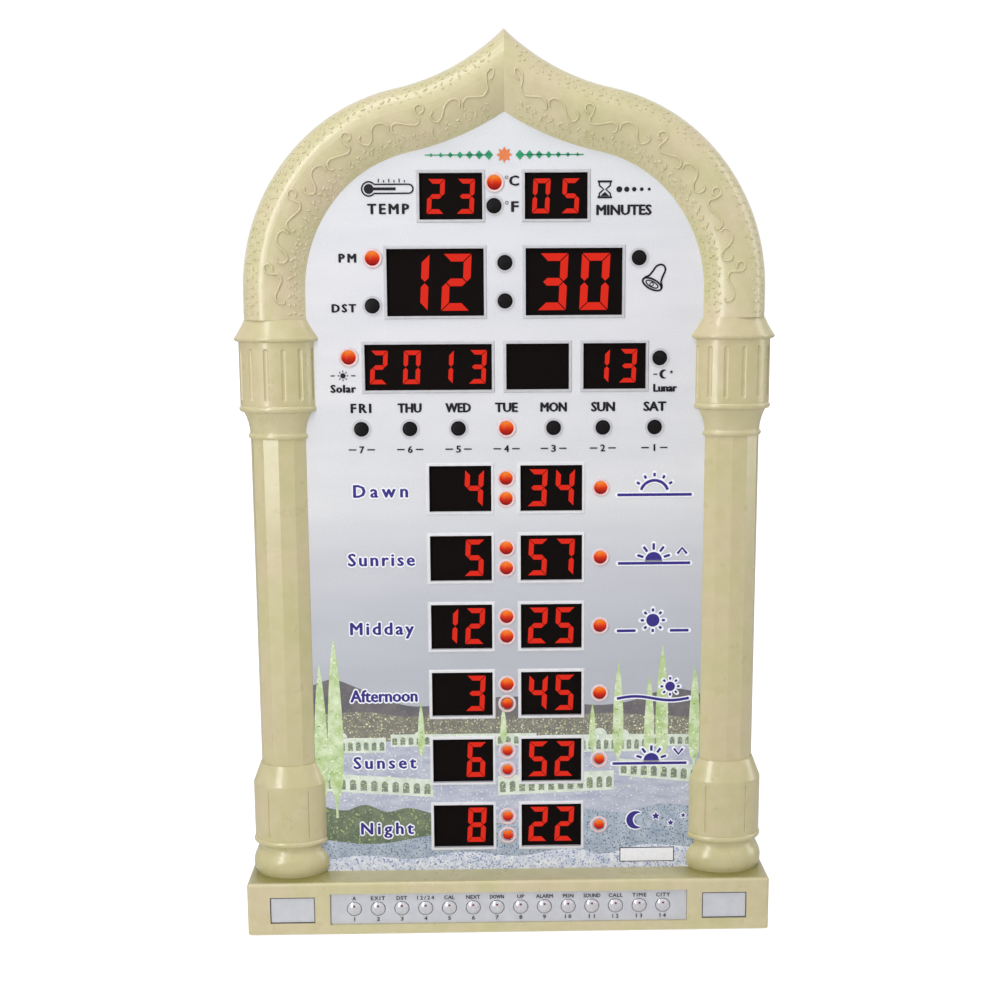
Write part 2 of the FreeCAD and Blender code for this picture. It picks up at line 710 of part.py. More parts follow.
# Keys
def make_key(x):
    """A domed cap with a flange behind the wall and a stem to its switch, and the switch's plunger."""
    cap_front = base_front_y
    dome = 0.9
    shoulder_y = base_front_y + key_wall + 0.1
    ball_r = (key_r ** 2 + dome ** 2) / (2 * dome)
    ball = Part.makeSphere(ball_r, V(x, cap_front + ball_r, key_z))
    cap = ball.common(rod(x, key_z, key_r, cap_front - 1, cap_front + dome))
    body = rod(x, key_z, key_r, cap_front + dome, shoulder_y)
    flange = rod(x, key_z, key_r + 0.9, shoulder_y, shoulder_y + 0.8)
    plunger_y = key_board_y - switch_depth - key_travel - 0.2
    stem = rod(x, key_z, 1.5, shoulder_y + 0.8, plunger_y)
    plunger = rod(x, key_z, 1.7, plunger_y, key_board_y - switch_depth + 1.2)
    return [fuse([cap, body, flange, stem]), plunger]


def make_switch(x):
    half = switch_side / 2
    body = box(x - half, x + half, key_board_y - switch_depth, key_board_y, key_z - half, key_z + half)
    return body.cut(rod(x, key_z, 1.9, key_board_y - switch_depth - 1, key_board_y - switch_depth + 2.0))


def main():
    os.makedirs("parts", exist_ok=True)

    save("arch_frame", make_arch())
    column = make_column()
    save("right_column", column)
    save("left_column", mirror_x(column))
    save("base_shell", make_base())
    save("base_bottom_plate", make_bottom_plate())
    save("rubber_feet", [Part.makeCylinder(foot_r, bottom_plate_z, V(x, y, 0)) for x, y in foot_places])
    save("rear_cover", make_rear_cover())

    save("dial_panel", make_dial())
    save("window_frames", make_window_frames())
    save("lamp_rings", make_lamp_rings())
    for name in dict.fromkeys(window[0] for window in windows):
        save(name, [make_module(window) for window in windows if window[0] == name])
    save("lit_figures", make_figures())
    for name, places, r, proud in lamp_groups:
        save(name, [make_lamp(x, z, r, proud) for x, z in places])

    save("main_board", make_main_board())
    save("board_standoffs", make_standoffs())
    save("chips", [box(x - w / 2, x + w / 2, chip_y, chip_y + t, z - h / 2, z + h / 2) for x, z, w, h, t in chips])
    save("capacitors", [rod(x, z, r, chip_y, chip_y + tall) for x, z, r, tall in capacitors])
    save("cell_holder", make_cell_holder())
    save("backup_cell", rod(cell_place[0], cell_place[1], cell_r, chip_y + 1, chip_y + 1 + cell_thick))
    save("temperature_sensor", rod(sensor_place[0], sensor_place[1], 2.2, chip_y, chip_y + 5))
    save("board_connectors", make_connectors())

    save("speaker_basket", make_basket())
    sx, sz = speaker_place
    save("speaker_magnet", rod(sx, sz, 12.0, basket_y - 16.5, basket_y - 10))
    save("speaker_cone", make_cone())
    save("speaker_dust_cap", make_dust_cap())

    half_w, half_h = plate_size[0] / 2 - 0.1, plate_size[1] / 2 - 0.1
    for name, side in (("left_blank_plate", -1), ("right_blank_plate", 1)):
        x = side * plate_x
        save(name, box(x - half_w, x + half_w, plate_face_y, plate_face_y + plate_thick, key_z - half_h, key_z + half_h))
    panel = box(-key_panel_half + 0.1, key_panel_half - 0.1, panel_face_y, panel_face_y + key_panel_thick,
                key_panel_z[0] + 0.1, key_panel_z[1] - 0.1)
    save("key_panel", panel.cut([rod(x, key_z, key_r + key_gap, -30, 0) for x in key_xs]))
    save("key_board", box(-72, 72, key_board_y, key_board_y + board_thick, 4.0, 18.4))
    save("key_switches", [make_switch(x) for x in key_xs])
    for i, x in enumerate(key_xs):
        save("key_%02d" % (i + 1), make_key(x))

    jx, jz = jack_place
    jack = box(jx - 5, jx + 5, back_y - wall - 12, back_y - wall, jz - 5.5, jz + 5.5)
    jack = jack.fuse(rod(jx, jz, jack_r - 0.1, back_y - wall, back_y - 0.2)).cut(rod(jx, jz, 2.8, back_y - 11, back_y))
    save("power_socket", jack.fuse(rod(jx, jz, 1.0, back_y - 12, back_y - 2)).removeSplitter())
    save("key_cable", strip([(key_board_y + board_thick, 15.0), (-13.0, 15.0), (-1.0, 17.5), (board_back_y + 6, 21.0),
                             (board_back_y + 6.5, 31.0), (board_back_y + 3.5, 37.0)], -15, 3, 0.8))

    save("cover_screws", [screw(V(side * x, back_y - head_thick - 0.4, z), V(0, -1, 0), 10)
                          for x, z in cover_screw_places for side in LEFT_AND_RIGHT])
    save("board_screws", [screw(V(x, board_back_y, z), V(0, -1, 0), 4.5) for x, z in standoff_places])
    save("bottom_screws", [screw(V(x, y, bottom_plate_z), V(0, 0, 1), 8) for x, y in bottom_screw_places])


main()
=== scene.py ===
import bmesh
import bpy
import math
import random
from mathutils import Matrix, Vector


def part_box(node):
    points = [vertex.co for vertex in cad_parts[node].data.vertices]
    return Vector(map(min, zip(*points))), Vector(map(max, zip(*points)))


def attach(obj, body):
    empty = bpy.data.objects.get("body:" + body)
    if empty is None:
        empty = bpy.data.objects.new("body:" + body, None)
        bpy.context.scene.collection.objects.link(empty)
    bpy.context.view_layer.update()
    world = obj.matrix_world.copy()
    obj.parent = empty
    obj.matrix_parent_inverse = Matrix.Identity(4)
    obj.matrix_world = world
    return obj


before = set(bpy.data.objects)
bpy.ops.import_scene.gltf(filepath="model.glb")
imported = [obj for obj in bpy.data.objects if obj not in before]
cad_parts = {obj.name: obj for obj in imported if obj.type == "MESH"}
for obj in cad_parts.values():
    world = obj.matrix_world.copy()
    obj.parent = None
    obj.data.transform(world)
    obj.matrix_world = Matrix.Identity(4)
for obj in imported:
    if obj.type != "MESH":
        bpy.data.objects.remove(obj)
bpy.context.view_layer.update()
mm = 0.001
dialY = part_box("dial_panel")[0].y / mm          # front of the printed sheet, in mm
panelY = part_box("key_panel")[0].y / mm
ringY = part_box("lamp_rings")[0].y / mm
keyNames = sorted(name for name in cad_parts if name.startswith("key_") and name[4:].isdigit())
keyBoxes = {name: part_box(name) for name in keyNames}
keyXs = {name: (low.x + high.x) / 2 / mm for name, (low, high) in keyBoxes.items()}
keyZ = (keyBoxes["key_01"][0].z + keyBoxes["key_01"][1].z) / 2 / mm


# Small helpers

def colour(hexText, alpha=1.0):   # sRGB hex to the linear colour that shaders take
    parts = [int(hexText[i:i + 2], 16) / 255 for i in (1, 3, 5)]
    linear = [p / 12.92 if p <= 0.04045 else ((p + 0.055) / 1.055) ** 2.4 for p in parts]
    return (*linear, alpha)


def setInputs(tree, node, inputs):   # an input takes a value, a socket, or a node for its first enabled output
    for name, value in inputs.items():
        if isinstance(value, bpy.types.Node):
            value = next(socket for socket in value.outputs if socket.enabled)
        if isinstance(value, bpy.types.NodeSocket):
            tree.links.new(value, node.inputs[name])
        else:
            node.inputs[name].default_value = value


def addNode(tree, kind, inputs=None, **settings):
    node = tree.nodes.new(kind)
    for name, value in settings.items():
        setattr(node, name, value)
    setInputs(tree, node, inputs or {})
    return node


def setRamp(node, stops):   # stops are (position, hex)
    ramp = node.color_ramp
    while len(ramp.elements) < len(stops):
        ramp.elements.new(0.5)
    for element, (position, hexText) in zip(ramp.elements, stops):
        element.position = position
        element.color = colour(hexText)
    return node


def newMaterial(name):
    material = bpy.data.materials.new(name)
    material.use_nodes = True
    tree = material.node_tree
    shader = tree.nodes["Principled BSDF"]
    coords = addNode(tree, "ShaderNodeTexCoord").outputs["Object"]
    return material, tree, shader, coords


def mottle(tree, coords, sizeMm, stops, detail=3.0, stretch=(1, 1, 1), seedShift=0.0):
    # cloudy colour between the stops; sizeMm is about how wide a patch is
    mapped = addNode(tree, "ShaderNodeMapping", {"Vector": coords, "Scale": stretch,
        "Location": (seedShift,) * 3})
    noise = addNode(tree, "ShaderNodeTexNoise", {"Vector": mapped,
        "Scale": 1 / (sizeMm * mm), "Detail": detail})
    ramp = addNode(tree, "ShaderNodeValToRGB", {"Fac": noise})
    return setRamp(ramp, stops)


def grainBump(tree, shader, coords, grainMm, strength, distanceMm=0.05, detail=2.0):
    noise = addNode(tree, "ShaderNodeTexNoise", {"Vector": coords, "Scale": 1 / (grainMm * mm),
        "Detail": detail})
    bump = addNode(tree, "ShaderNodeBump", {"Height": noise, "Strength": strength,
        "Distance": distanceMm * mm})
    setInputs(tree, shader, {"Normal": bump})


def roughnessBreak(tree, shader, coords, sizeMm, low, high):   # roughness wanders, as on handled plastic
    noise = addNode(tree, "ShaderNodeTexNoise", {"Vector": coords, "Scale": 1 / (sizeMm * mm), "Detail": 3.0})
    spread = addNode(tree, "ShaderNodeMapRange", {"Value": noise, "From Min": 0.3,
        "From Max": 0.7, "To Min": low, "To Max": high})
    setInputs(tree, shader, {"Roughness": spread})


# Champagne lacquer. Sizes and places are in mm; bump is grain size, strength, depth and detail.
lacquerCoat = {
    "clouds": [(0.30, "#c3bd8c"), (0.50, "#cbc198"), (0.70, "#cfbf9f")], "cloudSize": 24,
    # the last tone in this line is painted shade for the columns
    "flecks": [(0.35, "#bfb98a"), (0.65, "#d6caa9")], "fleckSize": 5, "fleckShare": 0.3, "columnShadeTone": "#a2955c",
    "smooth": {"coat": 0.3, "coatRoughness": 0.1, "roughness": (0.26, 0.36), "bump": (1.6, 0.06, 0.04, 2.0)},
    "stippled": {"coat": 0.55, "coatRoughness": 0.17, "roughness": (0.36, 0.46),
        "bump": (0.8, 0.6, 0.18, 3.0)},
    # painted shade: the darker tone on the top of the base, and how far round the columns it reaches
    "baseTopShadeTone": "#7f7a38", "columnX": 89.7, "columnY": -12, "shadeFrom": 12, "shadeTo": 24,
    "shadeNear": 0.95, "shadeFar": 0.30, "baseTopZ": (22.2, 22.7), "columnShadeShare": 0.16,
}


def shadeBaseTop(tree, coords, tone):   # painted shade: the flat top of the base is darker, most of all round the columns
    values = lacquerCoat
    xyz = addNode(tree, "ShaderNodeSeparateXYZ", {"Vector": coords})
    side = addNode(tree, "ShaderNodeMath", {0: xyz.outputs["X"]}, operation="ABSOLUTE")
    fromColumn = addNode(tree, "ShaderNodeMath", {0: side, 1: values["columnX"] * mm}, operation="SUBTRACT")
    flat = addNode(tree, "ShaderNodeCombineXYZ", {"X": fromColumn, "Y": xyz.outputs["Y"]})
    reach = addNode(tree, "ShaderNodeVectorMath", {0: flat, 1: (0, values["columnY"] * mm, 0)},
        operation="DISTANCE")
    near = addNode(tree, "ShaderNodeMapRange", {"Value": reach, "From Min": values["shadeFrom"] * mm,
        "From Max": values["shadeTo"] * mm, "To Min": values["shadeNear"], "To Max": values["shadeFar"]})
    low, high = values["baseTopZ"]
    onTop = addNode(tree, "ShaderNodeMapRange", {"Value": xyz.outputs["Z"], "From Min": low * mm,
        "From Max": high * mm})
    amount = addNode(tree, "ShaderNodeMath", {0: near, 1: onTop}, operation="MULTIPLY")
    return addNode(tree, "ShaderNodeMix", {"Factor": amount, 6: tone, 7: colour(values["baseTopShadeTone"])},
        data_type="RGBA")


def makeLacquer(name, ground="smooth", baseTop=False, depth=0.0):
    # pearl lacquer on moulded ABS: soft sheen, faint clouds of pink and green gold.
    # The stippled ground is the hammered one of the arch; depth is the share of a darker tone mixed in as
    # painted shade on the columns, and baseTop paints shade on the top of the base.
    material, tree, shader, coords = newMaterial(name)
    values = lacquerCoat
    clouds = mottle(tree, coords, values["cloudSize"], values["clouds"])
    flecks = mottle(tree, coords, values["fleckSize"], values["flecks"], detail=4.0, seedShift=3.1)
    pearl = addNode(tree, "ShaderNodeMix", {"Factor": values["fleckShare"], 6: clouds, 7: flecks},
        data_type="RGBA")
    paintedDarker = addNode(tree, "ShaderNodeMix", {"Factor": depth, 6: pearl, 7: colour(values["columnShadeTone"])},
        data_type="RGBA")
    tone = shadeBaseTop(tree, coords, paintedDarker) if baseTop else paintedDarker
    coat = values[ground]
    setInputs(tree, shader, {"Base Color": tone, "Coat Weight": coat["coat"],
        "Coat Roughness": coat["coatRoughness"]})
    roughnessBreak(tree, shader, coords, 9, *coat["roughness"])
    grainBump(tree, shader, coords, *coat["bump"])
    return material


sheetPrint = {   # heights in m
    "lowZ": 0.080, "highZ": 0.330,
    "tones": [(0.0, "#b8bbc3"), (0.19, "#c4c6cd"), (0.29, "#d1d2d7"), (0.40, "#e3e3e5"), (0.75, "#e3e3e7"),
        (1.0, "#e6e8eb")],
}


def makeDialPrint():
    # screen-printed acrylic sheet: near-white at the top, cooler and greyer towards the picture
    material, tree, shader, coords = newMaterial("screenPrintedSheet")
    xyz = addNode(tree, "ShaderNodeSeparateXYZ", {"Vector": coords})
    height = addNode(tree, "ShaderNodeMapRange", {"Value": xyz.outputs["Z"], "From Min": sheetPrint["lowZ"],
        "From Max": sheetPrint["highZ"]})
    ramp = addNode(tree, "ShaderNodeValToRGB", {"Fac": height})
    tone = setRamp(ramp, sheetPrint["tones"])
    streaks = mottle(tree, coords, 30, [(0.35, "#f6f7f8"), (0.65, "#ffffff")], stretch=(0.4, 1, 2))
    grain = mottle(tree, coords, 0.5, [(0.3, "#f5f5f7"), (0.7, "#ffffff")], detail=1.0, seedShift=0.7)
    for veil in (streaks, grain):
        tone = addNode(tree, "ShaderNodeMix", {"Factor": 1.0, 6: tone, 7: veil}, data_type="RGBA",
            blend_type="MULTIPLY")
    setInputs(tree, shader, {"Base Color": tone, "Specular IOR Level": 0.3})
    roughnessBreak(tree, shader, coords, 12, 0.40, 0.48)
    return material


def makePlain(name, dark, pale, sizeMm, roughness, grain=None, metallic=0.0, stretch=(1, 1, 1), coat=0.0,
        specular=0.5, edge=0.3):   # edge is where the first tone ends
    # a moulded, painted, plated or printed finish; grain is its size in mm and its strength
    material, tree, shader, coords = newMaterial(name)
    tone = mottle(tree, coords, sizeMm, [(edge, dark), (1 - edge, pale)], stretch=stretch)
    setInputs(tree, shader, {"Base Color": tone, "Metallic": metallic, "Coat Weight": coat,
        "Specular IOR Level": specular})
    roughnessBreak(tree, shader, coords, sizeMm * 2, roughness * 0.85, min(1.0, roughness * 1.2))
    if grain:
        grainBump(tree, shader, coords, *grain)
    return material


trimFoil = {   # the tone changes between these two heights, in m
    "changeZ": (0.198, 0.200), "upper": [(0.3, "#bdbdc3"), (0.7, "#c9c9cd")],
    "lower": [(0.3, "#d8d8dc"), (0.7, "#e2e2e6")],
}


def makeTrim():
    # silver-grey foil round the upper windows and lamps, near-white foil round the rows below
    material, tree, shader, coords = newMaterial("silverGreyTrim")
    xyz = addNode(tree, "ShaderNodeSeparateXYZ", {"Vector": coords})
    low, high = trimFoil["changeZ"]
    lower = addNode(tree, "ShaderNodeMapRange", {"Value": xyz.outputs["Z"], "From Min": low, "From Max": high,
        "To Min": 1.0, "To Max": 0.0})
    upperTone, lowerTone = (mottle(tree, coords, 3.0, trimFoil[part]) for part in ("upper", "lower"))
    tone = addNode(tree, "ShaderNodeMix", {"Factor": lower, 6: upperTone, 7: lowerTone}, data_type="RGBA")
    setInputs(tree, shader, {"Base Color": tone})
    roughnessBreak(tree, shader, coords, 6, 0.36, 0.46)
    grainBump(tree, shader, coords, 0.25, 0.05)
    return material


def makeGlowing(name, body, stops, strength, roughness, specular):
    # lit epoxy glows, and its glow is painted brighter where it faces up and darker where it faces down: a
    # painted highlight on top and painted shade below
    material, tree, shader, coords = newMaterial(name)
    surface = addNode(tree, "ShaderNodeNewGeometry")
    facing = addNode(tree, "ShaderNodeSeparateXYZ", {"Vector": surface.outputs["Normal"]})
    spread = addNode(tree, "ShaderNodeMapRange", {"Value": facing.outputs["Z"], "From Min": -0.7,
        "From Max": 0.7})
    ramp = setRamp(addNode(tree, "ShaderNodeValToRGB", {"Fac": spread}), stops)
    setInputs(tree, shader, {"Base Color": mottle(tree, coords, 1.0, [(0.3, body), (0.7, body)]),
        "Emission Color": ramp, "Emission Strength": strength, "Roughness": roughness,
        "Specular IOR Level": specular})
    return material


plainFinishes = {   # two close tones, mm across a cloud, roughness, the nodes that have it, what else differs
    "satinBlackEpoxy": ("#0c0807", "#100b0a", 2.0, 0.5, "", {"grain": (0.3, 0.05), "specular": 0.04}),
    "smokedEpoxyLens": ("#0d0a0b", "#130f11", 1.5, 0.3, "dark_lamps", {"specular": 0.15}),
    # painted light: the red glow of lit lamps on their rings
    "paintedRedLampLight": ("#e2c2c4", "#ead0d1", 1.2, 0.5, "", {}),
    "silverPaintedPlate": ("#c2c3ca", "#caccd2", 4.0, 0.4, "left_blank_plate right_blank_plate key_panel",
        {"grain": (0.18, 0.12)}),
    "platedKeyCap": ("#c4c3ca", "#d0cfd5", 1.2, 0.18, " ".join(keyNames), {"metallic": 0.3, "coat": 0.4}),
    # painted reflection in the key caps, laid on as a red dot
    "paintedKeyReflection": ("#5e1c1c", "#74211f", 0.4, 0.4, "", {}),
    "solderResist": ("#1c5a30", "#23693a", 3.0, 0.45, "main_board key_board",
        {"grain": (0.6, 0.1), "edge": 0.4}),
    "turnedBrass": ("#b08d46", "#c9a65c", 1.0, 0.3, "board_standoffs", {"metallic": 1.0}),
    "mouldedEpoxyBlack": ("#141414", "#1d1d1e", 0.8, 0.55, "chips key_switches power_socket",
        {"grain": (0.2, 0.2)}),
    "shrunkPvcSleeve": ("#161c44", "#1d2452", 2.0, 0.3, "capacitors", {}),
    "mouldedNylon": ("#ddd9cf", "#e6e3da", 2.0, 0.5, "board_connectors cell_holder", {"grain": (0.3, 0.1)}),
    "brushedCellSteel": ("#b4b4b6", "#c9c9cb", 0.3, 0.28, "backup_cell",
        {"metallic": 1.0, "stretch": (0.1, 1, 1)}),
    "dippedEpoxyBlack": ("#161412", "#201d1a", 1.0, 0.3, "temperature_sensor", {}),
    "blackZinc": ("#17181a", "#232427", 1.0, 0.4, "speaker_basket", {"metallic": 0.7}),
    "sinteredFerrite": ("#262627", "#313133", 0.6, 0.7, "speaker_magnet", {"grain": (0.2, 0.3)}),
    "pressedPaperCone": ("#151515", "#222222", 0.5, 0.9, "speaker_cone speaker_dust_cap",
        {"grain": (0.3, 0.4)}),
    "greyFlatPvc": ("#8d8d8f", "#9a9a9c", 1.2, 0.5, "key_cable", {"stretch": (1, 0.1, 0.1)}),
    "zincPlatedSteel": ("#9fa1a2", "#babcbc", 0.8, 0.32, "cover_screws board_screws bottom_screws",
        {"metallic": 1.0}),
    "mouldedRubber": ("#121212", "#1a1a1a", 1.0, 0.85, "rubber_feet", {"grain": (0.3, 0.3)}),
}
inkTones = {   # screen inks: name, dark tone, pale tone, mm across a cloud
    "black": ("blackScreenInk", "#17151a", "#201d22", 0.6),
    "violet": ("violetScreenInk", "#33297a", "#40368a", 0.8),
    "halo": ("whiteScreenInk", "#eeeef6", "#f8f8fc", 1.5),
    "green": ("greenScreenInk", "#2f9468", "#3aa376", 0.8),
    "orange": ("orangeScreenInk", "#dc7846", "#e68a58", 0.8),
    # this grey ink prints the key legends and also paints the shadow lines round the blank plates
    "keyLegendAndShadow": ("greyScreenInk", "#3a3840", "#4a4850", 0.5),
}
# painted shade at the bottom of each lit lens through to a painted highlight at the top
lensShadeToHighlight = [(0.0, "#8a1210"), (0.3, "#b81f0c"), (0.55, "#dd3a10"), (0.8, "#f26a14"), (1.0, "#fb8420")]

print("materials")
lacquer = makeLacquer("champagneLacquer")
stippledLacquer = makeLacquer("stippledChampagneLacquer", ground="stippled")
# the columns take a darker copy of the lacquer: painted shade
columnLacquerWithShade = makeLacquer("columnLacquerPaintedShade", depth=lacquerCoat["columnShadeShare"])
figureGlow = makeGlowing("litRedSegment", "#300604", [(0.0, "#e0281a"), (1.0, "#ea301f")], 0.88, 0.5, 0.05)
lampGlow = makeGlowing("litRedLens", "#300604", lensShadeToHighlight, 0.92, 0.25, 0.12)
trimGrey = makeTrim()
inkMaterials = {ink: makePlain(*tones, 0.5, specular=0.2) for ink, tones in inkTones.items()}
finishes = {
    "arch_frame": stippledLacquer, "base_shell": makeLacquer("shadedBaseLacquer", baseTop=True),
    "left_column": columnLacquerWithShade, "right_column": columnLacquerWithShade, "dial_panel": makeDialPrint(),
    "window_frames": trimGrey, "lamp_rings": trimGrey, "lit_figures": figureGlow, "lit_lamps": lampGlow,
    "row_colon_lamps": lampGlow, "row_marker_lamps": lampGlow,
}
plain = {}
for name, (dark, pale, sizeMm, roughness, nodes, more) in plainFinishes.items():
    plain[name] = makePlain(name, dark, pale, sizeMm, roughness, **more)
    finishes.update({node: plain[name] for node in nodes.split()})
for name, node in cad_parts.items():
    isDisplay = name.endswith("_display") or name == "row_displays"
    node.data.materials.clear()
    node.data.materials.append(plain["satinBlackEpoxy"] if isDisplay else finishes.get(name, lacquer))


# Geometry Nodes helpers

def newTree(name, inputs):   # inputs are (name, socket type, default)
    tree = bpy.data.node_groups.new(name, "GeometryNodeTree")
    tree.interface.new_socket("Geometry", in_out="INPUT", socket_type="NodeSocketGeometry")
    for label, kind, value in inputs:
        tree.interface.new_socket(label, in_out="INPUT", socket_type=kind).default_value = value
    tree.interface.new_socket("Geometry", in_out="OUTPUT", socket_type="NodeSocketGeometry")
    return tree, addNode(tree, "NodeGroupInput"), addNode(tree, "NodeGroupOutput")


def endTree(tree, end, geometry, material):
    whole = addNode(tree, "GeometryNodeRealizeInstances", {"Geometry": geometry})
    smooth = addNode(tree, "GeometryNodeSetShadeSmooth", {"Geometry": whole})
    painted = addNode(tree, "GeometryNodeSetMaterial", {"Geometry": smooth, "Material": material})
    setInputs(tree, end, {"Geometry": painted})


def placeObject(name, data):
    data.name = name
    placed = bpy.data.objects.new(name, data)
    bpy.context.scene.collection.objects.link(placed)
    return placed


def plainMesh(source):   # what the object looks like with its modifiers, as a mesh
    graph = bpy.context.evaluated_depsgraph_get()
    return bpy.data.meshes.new_from_object(source.evaluated_get(graph), depsgraph=graph)


def mountPiece(piece, body):
    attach(piece, body)


def growPiece(name, tree, values, points, edges=(), numbers=None, directions=None):
    # a plain mesh of what the tree makes on guide points, which carry numbers and directions by name
    guideMesh = bpy.data.meshes.new(name + "Guide")
    guideMesh.from_pydata(points, edges, [])
    for label, given in (numbers or {}).items():
        guideMesh.attributes.new(label, "FLOAT", "POINT").data.foreach_set("value", given)
    for label, given in (directions or {}).items():
        flat = [part for direction in given for part in direction]
        guideMesh.attributes.new(label, "FLOAT_VECTOR", "POINT").data.foreach_set("vector", flat)
    guide = placeObject(name + "Guide", guideMesh)
    modifier = guide.modifiers.new("build", "NODES")
    modifier.node_group = tree
    for item in tree.interface.items_tree:
        if item.item_type == "SOCKET" and item.in_out == "INPUT" and item.name in values:
            modifier[item.identifier] = values[item.name]
    piece = placeObject(name, plainMesh(guide))
    guide.modifiers.remove(modifier)
    bpy.data.objects.remove(guide)
    mountPiece(piece, "root")


def polar(x, z, r, turn):
    return x + r * math.cos(turn), z + r * math.sin(turn)


# Ornament of the arch. A place on the band is (side, distance up from the collar, inset from the outer edge).
ornament = {
    "footZ": 251.0, "springZ": 261.9, "halfWidth": 102.6,
    "shoulder": (80.4, 39.7), "crown": (75.3, 38.3), "ogee": 86.2,   # radius in mm, turn in degrees
    "crestInset": 9.8, "crestY": -20.8, "edgeY": -11.0, "innerRadius": 22.04,
    "stemRadius": 0.42, "stemLift": 0.16, "unitLength": 28.5, "firstUnit": 3.0, "units": 6, "lowest": 2.0,
    "middleInset": 15.0,
    "longScroll": [(3.6, 12.4), (2.2, 12.0), (1.7, 10.4), (3.0, 9.2), (4.9, 10.0), (5.0, 12.6), (4.6, 14.8),
        (6.6, 16.0), (10.0, 14.9), (13.2, 13.7), (15.4, 14.6), (15.8, 16.6), (14.6, 17.2)],
    "shortScroll": [(17.0, 15.6), (16.6, 13.6), (18.4, 12.0), (21.0, 12.0), (22.9, 13.6), (24.4, 16.2),
        (26.6, 17.4), (28.4, 16.2), (28.6, 14.2), (27.2, 13.4)],
    "leafRows": [   # inset, spacing, lean in degrees, leaf length
        (2.2, 3.3, 20, 1.8), (4.8, 3.5, -35, 1.9), (19.2, 3.4, 40, 2.1), (21.0, 3.0, -30, 1.8),
        (22.8, 2.7, 15, 1.5)],
    "beadRows": [   # inset, spacing, radius
        (3.4, 3.3, 0.5), (6.4, 4.1, 0.46), (20.2, 3.6, 0.55), (23.7, 1.9, 0.42)],
    "leafForm": {"Flatness": 0.45, "Narrowness": 0.46}, "beadForm": {"Flatness": 0.6, "Narrowness": 1.0},
    "seed": 7, "startAlong": 2.5, "endGap": 5.0,
}


def bandPlace(side, along, inset):
    # point on the band and the outward direction there; along is measured on the inset line
    o = ornament
    shoulder, shoulderTurn = o["shoulder"][0], math.radians(o["shoulder"][1])
    crown, crownTurn = o["crown"][0], math.radians(o["crown"][1])
    shoulderX = o["halfWidth"] - shoulder
    crownX, crownZ = polar(*polar(shoulderX, o["springZ"], shoulder, shoulderTurn), -crown, shoulderTurn)
    ogeeX, ogeeZ = polar(crownX, crownZ, crown + o["ogee"], shoulderTurn + crownTurn)
    shoulderFoot = o["springZ"] - o["footZ"]
    crownFoot = shoulderFoot + (shoulder - inset) * shoulderTurn
    ogeeFoot = crownFoot + (crown - inset) * crownTurn
    if along < shoulderFoot:
        turn, x, z = 0.0, o["halfWidth"] - inset, o["footZ"] + along
    elif along < crownFoot:
        turn = (along - shoulderFoot) / (shoulder - inset)
        x, z = polar(shoulderX, o["springZ"], shoulder - inset, turn)
    elif along < ogeeFoot:
        turn = shoulderTurn + (along - crownFoot) / (crown - inset)
        x, z = polar(crownX, crownZ, crown - inset, turn)
    else:   # the ogee is hollow, so its centre lies outside the band
        turn = shoulderTurn + crownTurn - (along - ogeeFoot) / (o["ogee"] + inset)
        x, z = polar(ogeeX, ogeeZ, -o["ogee"] - inset, turn)
    if inset < o["crestInset"]:
        tilt = math.asin((o["crestInset"] - inset) / o["crestInset"])
        y = o["edgeY"] - o["crestInset"] * math.cos(tilt)
    else:
        tilt = -math.asin((inset - o["crestInset"]) / o["innerRadius"])
        y = o["crestY"] + o["innerRadius"] * (1 - math.cos(tilt))
    outward = (side * math.cos(turn) * math.sin(tilt), -math.cos(tilt), math.sin(turn) * math.sin(tilt))
    return Vector((side * x, y, z)), Vector(outward)


def bandLength(inset):   # where the band meets its mirror image
    low, high = 60.0, 200.0
    for step in range(30):
        middle = (low + high) / 2
        if bandPlace(1, middle, inset)[0].x > 0:
            low = middle
        else:
            high = middle
    return low


def smoothLine(points, steps):   # a smooth curve that goes through every point
    line = []
    padded = [points[0]] + list(points) + [points[-1]]
    for corners in zip(padded, padded[1:], padded[2:], padded[3:]):
        for t in (i / steps for i in range(steps)):
            line.append(tuple(0.5 * (2 * b + (c - a) * t + (2 * a - 5 * b + 4 * c - d) * t * t
                + (3 * b - a - 3 * c + d) * t ** 3) for a, b, c, d in zip(*corners)))
    return line + [tuple(points[-1])]


def makeArchStems():
    tree, start, end = newTree("archStems", [("Stem radius", "NodeSocketFloat", 0.0003)])
    run = addNode(tree, "GeometryNodeMeshToCurve", {"Mesh": start})
    profile = addNode(tree, "GeometryNodeCurvePrimitiveCircle",
        {"Resolution": 8, "Radius": start.outputs["Stem radius"]})
    tube = addNode(tree, "GeometryNodeCurveToMesh",
        {"Curve": run, "Profile Curve": profile, "Fill Caps": True})
    endTree(tree, end, tube, stippledLacquer)
    points, edges = [], []
    full = bandLength(ornament["middleInset"])
    for side in (-1, 1):
        for unit in range(ornament["units"]):
            top = full - ornament["firstUnit"] - unit * ornament["unitLength"]
            for scroll in (ornament["longScroll"], ornament["shortScroll"]):
                places = [(top - a, s) for a, s in smoothLine(scroll, 6)]
                if min(a for a, s in places) < ornament["lowest"]:
                    continue
                first = len(points)
                for a, s in places:
                    # the along distance is scaled so that it holds on every inset line
                    place, outward = bandPlace(side, a * bandLength(s) / full, s)
                    points.append((place + outward * ornament["stemLift"]) * mm)
                edges += [(i, i + 1) for i in range(first, len(points) - 1)]
    growPiece("archStems", tree, {"Stem radius": ornament["stemRadius"] * mm}, points, edges)


